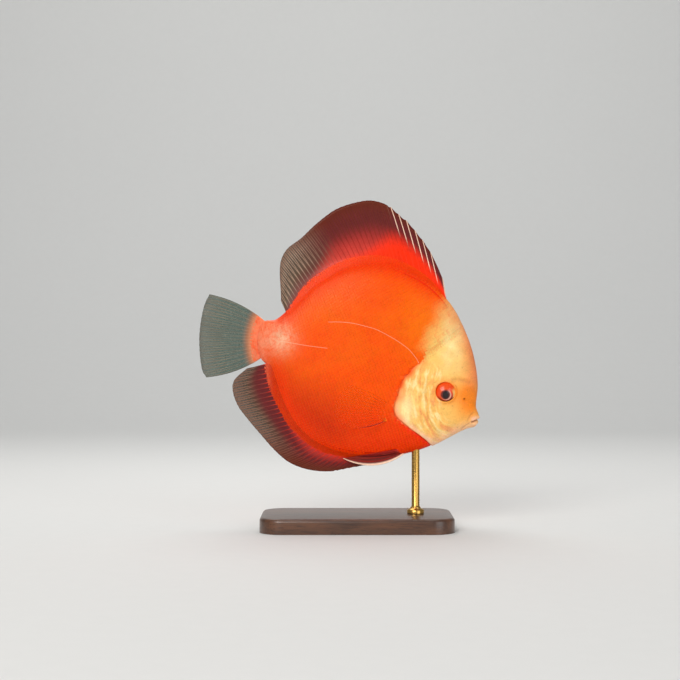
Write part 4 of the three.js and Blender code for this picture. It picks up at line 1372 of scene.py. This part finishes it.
def cheek_streaks(tree):
    """Uneven bands down the cheek, beside its fold: masks of its pink and its yellow."""
    height = add_node(tree, "ShaderNodeSeparateXYZ", {"Vector": object_place(tree)}).outputs["Z"]
    beside_fold = calculate(tree, "MULTIPLY", attribute(tree, "fold"), 0.36)
    place = add_node(tree, "ShaderNodeCombineXYZ",
                     {"X": beside_fold, "Y": calculate(tree, "MULTIPLY", height, 110.0)})
    streaks = add_node(tree, "ShaderNodeTexNoise", {
        "Vector": place.outputs["Vector"], "Scale": 1.0, "Detail": 2.0, "Roughness": 0.6},
        noise_dimensions="2D").outputs["Fac"]
    cheek = attribute(tree, "cheek")
    pink = calculate(tree, "MULTIPLY_ADD", streaks, -6.0, 2.9, clamp=True)
    yellow = calculate(tree, "MULTIPLY_ADD", streaks, 6.0, -3.0, clamp=True)
    return (
        ("blush", calculate(tree, "MULTIPLY", calculate(tree, "MULTIPLY", pink, cheek), 0.6)),
        ("band", calculate(tree, "MULTIPLY", calculate(tree, "MULTIPLY", yellow, cheek), 0.85)),
    )


def skin_material(colours):
    """Bare wet skin: the body's markings, softly mottled."""
    material, tree, shader = new_material(
        "wet_skin", Coat_Weight=0.12, Coat_Roughness=0.15, Specular_IOR_Level=0.3, Specular_Tint=WARM,
        Subsurface_Weight=0.1, Subsurface_Scale=0.002)
    colour = body_colour(tree, colours, cheek_streaks(tree))
    mottled = place_group(tree, mottle_group(), {
        "Color": colour, "Blotch size": 0.0045, "Grain size": 0.0009, "Amount": 0.36})
    normal = place_group(tree, grain_group(), {"Size": 0.0007, "Depth": 0.35})
    rough = calculate(tree, "MULTIPLY_ADD", mottled.outputs["Grain"], 0.22, 0.32)
    tree.links.new(mottled.outputs["Color"], shader.inputs["Base Color"])
    tree.links.new(rough, shader.inputs["Roughness"])
    tree.links.new(normal.outputs["Normal"], shader.inputs["Normal"])
    return material


def scale_material(colours):
    """Scales: the body's markings, each scale a shade of its own with a lighter rear edge."""
    name = "wet_scales"
    if name in bpy.data.materials:
        return bpy.data.materials[name]
    material, tree, shader = new_material(
        name, Coat_Weight=0.06, Coat_Roughness=0.2, Specular_IOR_Level=0.25, Specular_Tint=WARM,
        Subsurface_Weight=0.08, Subsurface_Scale=0.0015)
    colour = body_colour(tree, colours)
    own = calculate(tree, "MULTIPLY_ADD", attribute(tree, "own"), 0.12, 0.94)
    deeper = calculate(tree, "MULTIPLY", calculate(tree, "POWER", attribute(tree, "own"), 3.0), 0.3)
    colour = mix_colours(tree, deeper, colour, solid_paint(colours.red))
    tinted = add_node(tree, "ShaderNodeHueSaturation", {"Value": own, "Color": colour})
    rear = calculate(tree, "MULTIPLY", attribute(tree, "rear"), 0.24)
    edged = mix_colours(tree, rear, tinted.outputs["Color"], solid_paint(colours.glow))
    lined = mix_colours(tree, calculate(tree, "MULTIPLY", attribute(tree, "line"), 0.42), edged,
                        solid_paint(colours.pearl))
    mottled = place_group(tree, mottle_group(), {
        "Color": lined, "Blotch size": 0.007, "Grain size": 0.0006, "Amount": 0.2})
    normal = place_group(tree, grain_group(), {"Size": 0.0004, "Depth": 0.25})
    rough = calculate(tree, "MULTIPLY_ADD", attribute(tree, "own"), 0.14, 0.32)
    tree.links.new(mottled.outputs["Color"], shader.inputs["Base Color"])
    tree.links.new(rough, shader.inputs["Roughness"])
    tree.links.new(normal.outputs["Normal"], shader.inputs["Normal"])
    return material


def ray_lines_group():
    """1 along the strands of a fin's rays, 0 between them."""
    group, start, end = new_group(
        "Ray lines",
        [("Across", "NodeSocketFloat", 0.0), ("First fork", "NodeSocketFloat", 0.0),
         ("Second fork", "NodeSocketFloat", 0.0), ("Width", "NodeSocketFloat", 0.1)],
        [("Line", "NodeSocketFloat")],
    )
    if start:
        ray = calculate(group, "ROUND", start.outputs["Across"])
        away = calculate(group, "ABSOLUTE", calculate(group, "SUBTRACT", start.outputs["Across"], ray))
        for fork in ("First fork", "Second fork"):
            away = calculate(group, "ABSOLUTE", calculate(group, "SUBTRACT", away, start.outputs[fork]))
        ratio = calculate(group, "DIVIDE", away, start.outputs["Width"])
        fall = calculate(group, "SMOOTH_MIN", ratio, 1.0, 0.4)
        group.links.new(calculate(group, "SUBTRACT", 1.0, fall, clamp=True), end.inputs["Line"])
    return group


def web_material(name, colours, ground, web_layers, ray_layers, width=0.13, ray_solid=0.25):
    """A fin's web: paints by its masks, rays drawn into it, and see-through where it is clear."""
    material, tree, shader = new_material(
        name, Coat_Weight=0.1, Coat_Roughness=0.15, Specular_IOR_Level=0.25, Specular_Tint=WARM)
    widths = calculate(tree, "MULTIPLY_ADD", attribute(tree, "spiny"), -width * 0.2, width)
    line = place_group(tree, ray_lines_group(), {
        "Across": attribute(tree, "across"), "First fork": attribute(tree, "first_fork"),
        "Second fork": attribute(tree, "second_fork"), "Width": widths}).outputs["Line"]
    web = layered(tree, colours, ground, web_layers)
    rays = layered(tree, colours, ground, ray_layers)
    mottled = place_group(tree, mottle_group(), {
        "Color": mix_colours(tree, line, web, rays), "Blotch size": 0.006, "Grain size": 0.0012,
        "Amount": 0.35})
    normal = place_group(tree, grain_group(), {"Size": 0.0012, "Depth": 0.45, "Height": line})
    solid = calculate(tree, "MULTIPLY_ADD", line, ray_solid, attribute(tree, "solid"), clamp=True)
    tree.links.new(mottled.outputs["Color"], shader.inputs["Base Color"])
    tree.links.new(solid, shader.inputs["Alpha"])
    tree.links.new(calculate(tree, "MULTIPLY_ADD", mottled.outputs["Grain"], 0.2, 0.28),
                   shader.inputs["Roughness"])
    tree.links.new(normal.outputs["Normal"], shader.inputs["Normal"])
    return material


def ray_material(name, colours, ground, layers, solid_from):
    """The proud strands of a fin's rays, faintly jointed."""
    material, tree, shader = new_material(
        name, Coat_Weight=0.1, Coat_Roughness=0.15, Specular_IOR_Level=0.25, Specular_Tint=WARM)
    mottled = place_group(tree, mottle_group(), {
        "Color": layered(tree, colours, ground, layers), "Blotch size": 0.006, "Grain size": 0.0012,
        "Amount": 0.35})
    joints = calculate(tree, "SINE", calculate(tree, "MULTIPLY", attribute(tree, "joint"), 7.0))
    normal = place_group(tree, grain_group(), {
        "Size": 0.0012, "Depth": 0.3, "Height": calculate(tree, "MULTIPLY", joints, 0.25)})
    solid = calculate(tree, "ADD", attribute(tree, "solid"), solid_from, clamp=True)
    tree.links.new(mottled.outputs["Color"], shader.inputs["Base Color"])
    tree.links.new(solid, shader.inputs["Alpha"])
    tree.links.new(calculate(tree, "MULTIPLY_ADD", mottled.outputs["Grain"], 0.2, 0.28),
                   shader.inputs["Roughness"])
    tree.links.new(normal.outputs["Normal"], shader.inputs["Normal"])
    return material


def eye_material(colours):
    """The iris with its rings and fine spokes under a clear wet gloss, round a black pupil."""
    name = "eye_gloss"
    if name in bpy.data.materials:
        return bpy.data.materials[name]
    material, tree, shader = new_material(
        name, Coat_Weight=0.45, Coat_Roughness=0.08, Specular_IOR_Level=0.25, Roughness=0.35)
    spokes = add_node(tree, "ShaderNodeTexNoise", {"Scale": 1.0, "Detail": 3.0}, noise_dimensions="2D")
    around = calculate(tree, "MULTIPLY", attribute(tree, "turn"), 9.0)
    outward = calculate(tree, "MULTIPLY", attribute(tree, "away"), 0.7)
    place = add_node(tree, "ShaderNodeCombineXYZ", {"X": around, "Y": outward})
    tree.links.new(place.outputs["Vector"], spokes.inputs["Vector"])
    streaks = calculate(tree, "MULTIPLY_ADD", spokes.outputs["Fac"], 1.6, -0.5, clamp=True)
    colour = layered(tree, colours, "iris", (
        ("snout", calculate(tree, "MULTIPLY", streaks, 0.4)), ("cream", "pale"),
        ("iris_dark", "rim_dark"), ("bone", "ring"), ("pupil", "pupil")))
    tree.links.new(colour, shader.inputs["Base Color"])
    return material


def wood_material(colours):
    """Dark varnished hardwood, its grain along the base."""
    material, tree, shader = new_material("varnished_wood", Coat_Weight=0.4, Coat_Roughness=0.2)
    stretched = add_node(tree, "ShaderNodeMapping", {"Vector": object_place(tree), "Scale": (6, 60, 60)})
    rings = add_node(tree, "ShaderNodeTexNoise", {
        "Vector": stretched.outputs["Vector"], "Scale": 2.2, "Detail": 6.0, "Roughness": 0.62,
        "Distortion": 0.6})
    fibres = add_node(tree, "ShaderNodeTexNoise", {
        "Vector": stretched.outputs["Vector"], "Scale": 26.0, "Detail": 3.0})
    tone = calculate(tree, "MULTIPLY_ADD", rings.outputs["Fac"], 2.2, -0.62, clamp=True)
    colour = mix_colours(tree, tone, solid_paint(colours.wood_dark), solid_paint(colours.wood_light))
    pores = calculate(tree, "MULTIPLY", calculate(tree, "LESS_THAN", fibres.outputs["Fac"], 0.42), 0.5)
    colour = mix_colours(tree, pores, colour, solid_paint(colours.wood_dark))
    bump = add_node(tree, "ShaderNodeBump", {"Height": fibres.outputs["Fac"], "Strength": 0.15,
                                            "Distance": 0.0002})
    tree.links.new(colour, shader.inputs["Base Color"])
    tree.links.new(calculate(tree, "MULTIPLY_ADD", fibres.outputs["Fac"], 0.2, 0.28),
                   shader.inputs["Roughness"])
    tree.links.new(bump.outputs["Normal"], shader.inputs["Normal"])
    return material


def brass_material(colours):
    """Brushed brass, a little darker in its streaks."""
    material, tree, shader = new_material("brushed_brass", Metallic=1.0)
    stretched = add_node(tree, "ShaderNodeMapping",
                         {"Vector": object_place(tree), "Scale": (200, 200, 3000)})
    streaks = add_node(tree, "ShaderNodeTexNoise", {
        "Vector": stretched.outputs["Vector"], "Scale": 1.0, "Detail": 3.0})
    dull = tuple(part * 0.6 for part in colours.brass)
    colour = mix_colours(tree, streaks.outputs["Fac"], (*dull, 1.0), solid_paint(colours.brass))
    tree.links.new(colour, shader.inputs["Base Color"])
    tree.links.new(calculate(tree, "MULTIPLY_ADD", streaks.outputs["Fac"], 0.25, 0.15),
                   shader.inputs["Roughness"])
    return material


def floor_material(colours):
    """Plain pale paper."""
    material, tree, shader = new_material("pale_paper", Roughness=0.85, Specular_IOR_Level=0.2)
    tint = place_group(tree, mottle_group(), {
        "Color": solid_paint(colours.floor), "Blotch size": 0.5, "Grain size": 0.01, "Amount": 0.03})
    tree.links.new(tint.outputs["Color"], shader.inputs["Base Color"])
    return material


# Studio

PHOTO_WIDTH = 680
MM_PER_PIXEL = 0.606
AIM = (-15.2, 6.1)  # the middle of the photo, in millimetres about the flank's middle
CAMERA_AWAY = 0.95
SENSOR = 36.0


def add_light(name, place, aim, size, power, colour=(1, 1, 1)):
    """A soft round light turned towards a point."""
    data = bpy.data.lights.new(name, "AREA")
    data.shape = "DISK"
    data.size, data.energy, data.color = size, power, colour
    light = bpy.data.objects.new(name, data)
    light.location = place
    light.rotation_euler = (Vector(aim) - Vector(place)).to_track_quat("-Z", "Y").to_euler()
    bpy.context.scene.collection.objects.link(light)


def add_stage(colours):
    """The floor with its rising back, the lights and the camera."""
    deselect()
    bpy.ops.mesh.primitive_plane_add(size=1, location=(0, 0, 0))
    floor = named("studio_floor")
    set_points(floor, points_of(floor) * (8, 4, 1) - (0, 1.0, 0))
    bpy.ops.object.mode_set(mode="EDIT")
    bpy.ops.mesh.select_mode(type="EDGE")
    bpy.ops.mesh.select_all(action="DESELECT")
    bpy.ops.object.mode_set(mode="OBJECT")
    places = points_of(floor)
    for edge in floor.data.edges:
        edge.select = all(places[k][1] > 0.9 for k in edge.vertices)
    bpy.ops.object.mode_set(mode="EDIT")
    for step in range(1, 13):
        turn = math.radians(90) * step / 12
        before = math.radians(90) * (step - 1) / 12
        bpy.ops.mesh.extrude_region_move(TRANSFORM_OT_translate={"value": (
            0, 0.8 * (math.sin(turn) - math.sin(before)), 0.8 * (math.cos(before) - math.cos(turn)))})
    bpy.ops.mesh.extrude_region_move(TRANSFORM_OT_translate={"value": (0, 0, 3)})
    bpy.ops.object.mode_set(mode="OBJECT")
    floor.data.materials.append(floor_material(colours))
    floor.data.shade_smooth()

    middle = (FLANK_MIDDLE[0] * MM, 0, FLANK_MIDDLE[2] * MM)
    add_light("key", (-0.55, -1.3, 0.8), middle, 0.9, 15.5, (1.0, 0.98, 0.95))
    add_light("fill", (0.9, -1.1, 0.3), middle, 0.9, 5.5, (0.98, 0.99, 1.0))
    add_light("top", (-0.1, 0.35, 0.75), middle, 0.5, 2.2, (1.0, 0.98, 0.96))
    add_light("backdrop", (0, 0.3, 1.7), (0, 1.7, 0.5), 1.2, 14)
    world = bpy.data.worlds.new("studio")
    world.use_nodes = True
    background = world.node_tree.nodes["Background"]
    background.inputs["Color"].default_value = (0.95, 0.97, 1.0, 1.0)
    background.inputs["Strength"].default_value = 0.3
    bpy.context.scene.world = world

    lens = bpy.data.cameras.new("camera")
    lens.sensor_width = SENSOR
    lens.lens = SENSOR * CAMERA_AWAY / (PHOTO_WIDTH * MM_PER_PIXEL * MM)
    lens.clip_start = 0.01
    camera = bpy.data.objects.new("camera", lens)
    camera.location = ((FLANK_MIDDLE[0] + AIM[0]) * MM, -CAMERA_AWAY, (FLANK_MIDDLE[2] + AIM[1]) * MM)
    camera.rotation_euler = (math.radians(90), 0, 0)
    bpy.context.scene.collection.objects.link(camera)
    bpy.context.scene.camera = camera
    bpy.context.scene.view_settings.view_transform = "Standard"


# Operators


class DISCUS_OT_skin(bpy.types.Operator):
    """Adds the skin"""

    bl_idname = "discus.skin"
    bl_label = "Skin"

    def execute(self, context):
        add_skin(context.scene.discus_sizes, context.scene.discus_colours)
        return {"FINISHED"}


class DISCUS_OT_scales(bpy.types.Operator):
    """Adds the scales of both flanks"""

    bl_idname = "discus.scales"
    bl_label = "Scales"

    def execute(self, context):
        for side, word in SIDES:
            add_scales(side, word, context.scene.discus_sizes, context.scene.discus_colours)
        return {"FINISHED"}


FIN_LAYERS = (("rose", "rose"), ("ember", "ember"), ("umber", "umber"), ("olive", "clear"))
RAY_LAYERS = (("umber", "ray_umber"), ("ray_red", "ray_rose"), ("ember", "ray_ember"),
              ("ray_pale", "ray_clear"), ("bone", "bone"))
BELLY_LAYERS = (*FIN_LAYERS, ("bone", "bone"))
TAIL_LAYERS = (("smoke", "clear"), ("umber", "umber"), ("pearl", "pearl"))
TAIL_RAY_LAYERS = (("smoke", "clear"), ("ray_pale", "ray_clear"), ("pearl", "pearl"))
BREAST_LAYERS = (("pearl", "pearl"), ("rose", "rose"), ("umber", "umber"), ("glow", "glow"))


class DISCUS_OT_median_fins(bpy.types.Operator):
    """Adds the dorsal fin and the anal fin"""

    bl_idname = "discus.median_fins"
    bl_label = "Dorsal and anal fins"

    def execute(self, context):
        sizes, colours = context.scene.discus_sizes, context.scene.discus_colours
        web = web_material("median_web", colours, "maroon", FIN_LAYERS, RAY_LAYERS)
        ray = ray_material("median_rays", colours, "maroon", RAY_LAYERS, 0.3)
        for word, fin, masks, tint in (
            ("dorsal", dorsal_fin(), dorsal_masks, {"ember": 1.0}),
            ("anal", anal_fin(), anal_masks, {"red": 1.0}),
        ):
            add_membrane(word + "_web", fin, masks, web, "median_fins", sizes, word + "_fin")
            add_rays(word + "_rays", fin, masks, ray, "median_fins", sizes)
            add_root_scales(word + "_root_scales", fin, tint, 0.1, sizes, colours)
        return {"FINISHED"}


class DISCUS_OT_tail_fin(bpy.types.Operator):
    """Adds the tail fin"""

    bl_idname = "discus.tail_fin"
    bl_label = "Tail fin"

    def execute(self, context):
        sizes, colours = context.scene.discus_sizes, context.scene.discus_colours
        web = web_material("tail_web", colours, "blush", TAIL_LAYERS, TAIL_RAY_LAYERS, 0.07)
        ray = ray_material("tail_rays", colours, "blush", TAIL_RAY_LAYERS, 0.1)
        add_membrane("tail_web", tail_fin(), tail_masks, web, "tail_membrane", sizes, "tail_fin")
        add_rays("tail_rays", tail_fin(), tail_masks, ray, "tail_membrane", sizes)
        add_root_scales("tail_root_scales", tail_fin(), {}, 4.2, sizes, colours)
        return {"FINISHED"}


class DISCUS_OT_paired_fins(bpy.types.Operator):
    """Adds the breast fins and the belly fins"""

    bl_idname = "discus.paired_fins"
    bl_label = "Breast and belly fins"

    def execute(self, context):
        sizes, colours = context.scene.discus_sizes, context.scene.discus_colours
        breast_web = web_material("breast_web", colours, "orange", BREAST_LAYERS, BREAST_LAYERS,
                                  0.08, 0.06)
        breast_ray = ray_material("breast_rays", colours, "orange", BREAST_LAYERS, 0.04)
        belly_web = web_material("belly_web", colours, "maroon", BELLY_LAYERS, RAY_LAYERS)
        belly_ray = ray_material("belly_rays", colours, "maroon", RAY_LAYERS, 0.3)
        for side, word in SIDES:
            fin = breast_fin(side)
            add_membrane("breast_web_" + word, fin, breast_masks, breast_web, "pectoral_membrane",
                         sizes, "pectoral_fin_" + word)
            add_rays("breast_rays_" + word, fin, breast_masks, breast_ray, "pectoral_membrane", sizes)
            fin = belly_fin(side)
            add_membrane("belly_web_" + word, fin, belly_masks, belly_web, "pelvic_fins", sizes,
                         "pelvic_fin_" + word)
            add_rays("belly_rays_" + word, fin, belly_masks, belly_ray, "pelvic_fins", sizes)
        return {"FINISHED"}


class DISCUS_OT_eyes(bpy.types.Operator):
    """Adds both eyes"""

    bl_idname = "discus.eyes"
    bl_label = "Eyes"

    def execute(self, context):
        for side, word in SIDES:
            add_eye(side, word, context.scene.discus_colours)
        return {"FINISHED"}


class DISCUS_OT_stand(bpy.types.Operator):
    """Adds the base and the rod"""

    bl_idname = "discus.stand"
    bl_label = "Stand"

    def execute(self, context):
        add_base(context.scene.discus_sizes, context.scene.discus_colours)
        add_rod(context.scene.discus_colours)
        return {"FINISHED"}


class DISCUS_OT_stage(bpy.types.Operator):
    """Adds the floor, lights and camera"""

    bl_idname = "discus.stage"
    bl_label = "Studio"

    def execute(self, context):
        add_stage(context.scene.discus_colours)
        return {"FINISHED"}


STEPS = (
    DISCUS_OT_skin, DISCUS_OT_scales, DISCUS_OT_median_fins, DISCUS_OT_tail_fin,
    DISCUS_OT_paired_fins, DISCUS_OT_eyes, DISCUS_OT_stand, DISCUS_OT_stage,
)


class DISCUS_PT_panel(bpy.types.Panel):
    """Lists the steps that build the fish"""

    bl_idname = "DISCUS_PT_panel"
    bl_label = "Discus fish"
    bl_space_type = "VIEW_3D"
    bl_region_type = "UI"
    bl_category = "Discus fish"

    def draw(self, context):
        for step in STEPS:
            self.layout.operator(step.bl_idname)
        for group in (context.scene.discus_sizes, context.scene.discus_colours):
            box = self.layout.box()
            for name in group.__annotations__:
                box.prop(group, name)


CLASSES = (DiscusSizes, DiscusColours, *STEPS, DISCUS_PT_panel)


def register():
    for each in CLASSES:
        bpy.utils.register_class(each)
    bpy.types.Scene.discus_sizes = bpy.props.PointerProperty(type=DiscusSizes)
    bpy.types.Scene.discus_colours = bpy.props.PointerProperty(type=DiscusColours)


def unregister():
    del bpy.types.Scene.discus_sizes, bpy.types.Scene.discus_colours
    for each in reversed(CLASSES):
        bpy.utils.unregister_class(each)


def main():
    register()
    bpy.ops.discus.skin()
    bpy.ops.discus.scales()
    bpy.ops.discus.median_fins()
    bpy.ops.discus.tail_fin()
    bpy.ops.discus.paired_fins()
    bpy.ops.discus.eyes()
    bpy.ops.discus.stand()
    bpy.ops.discus.stage()


if __name__ == "__main__":
    main()
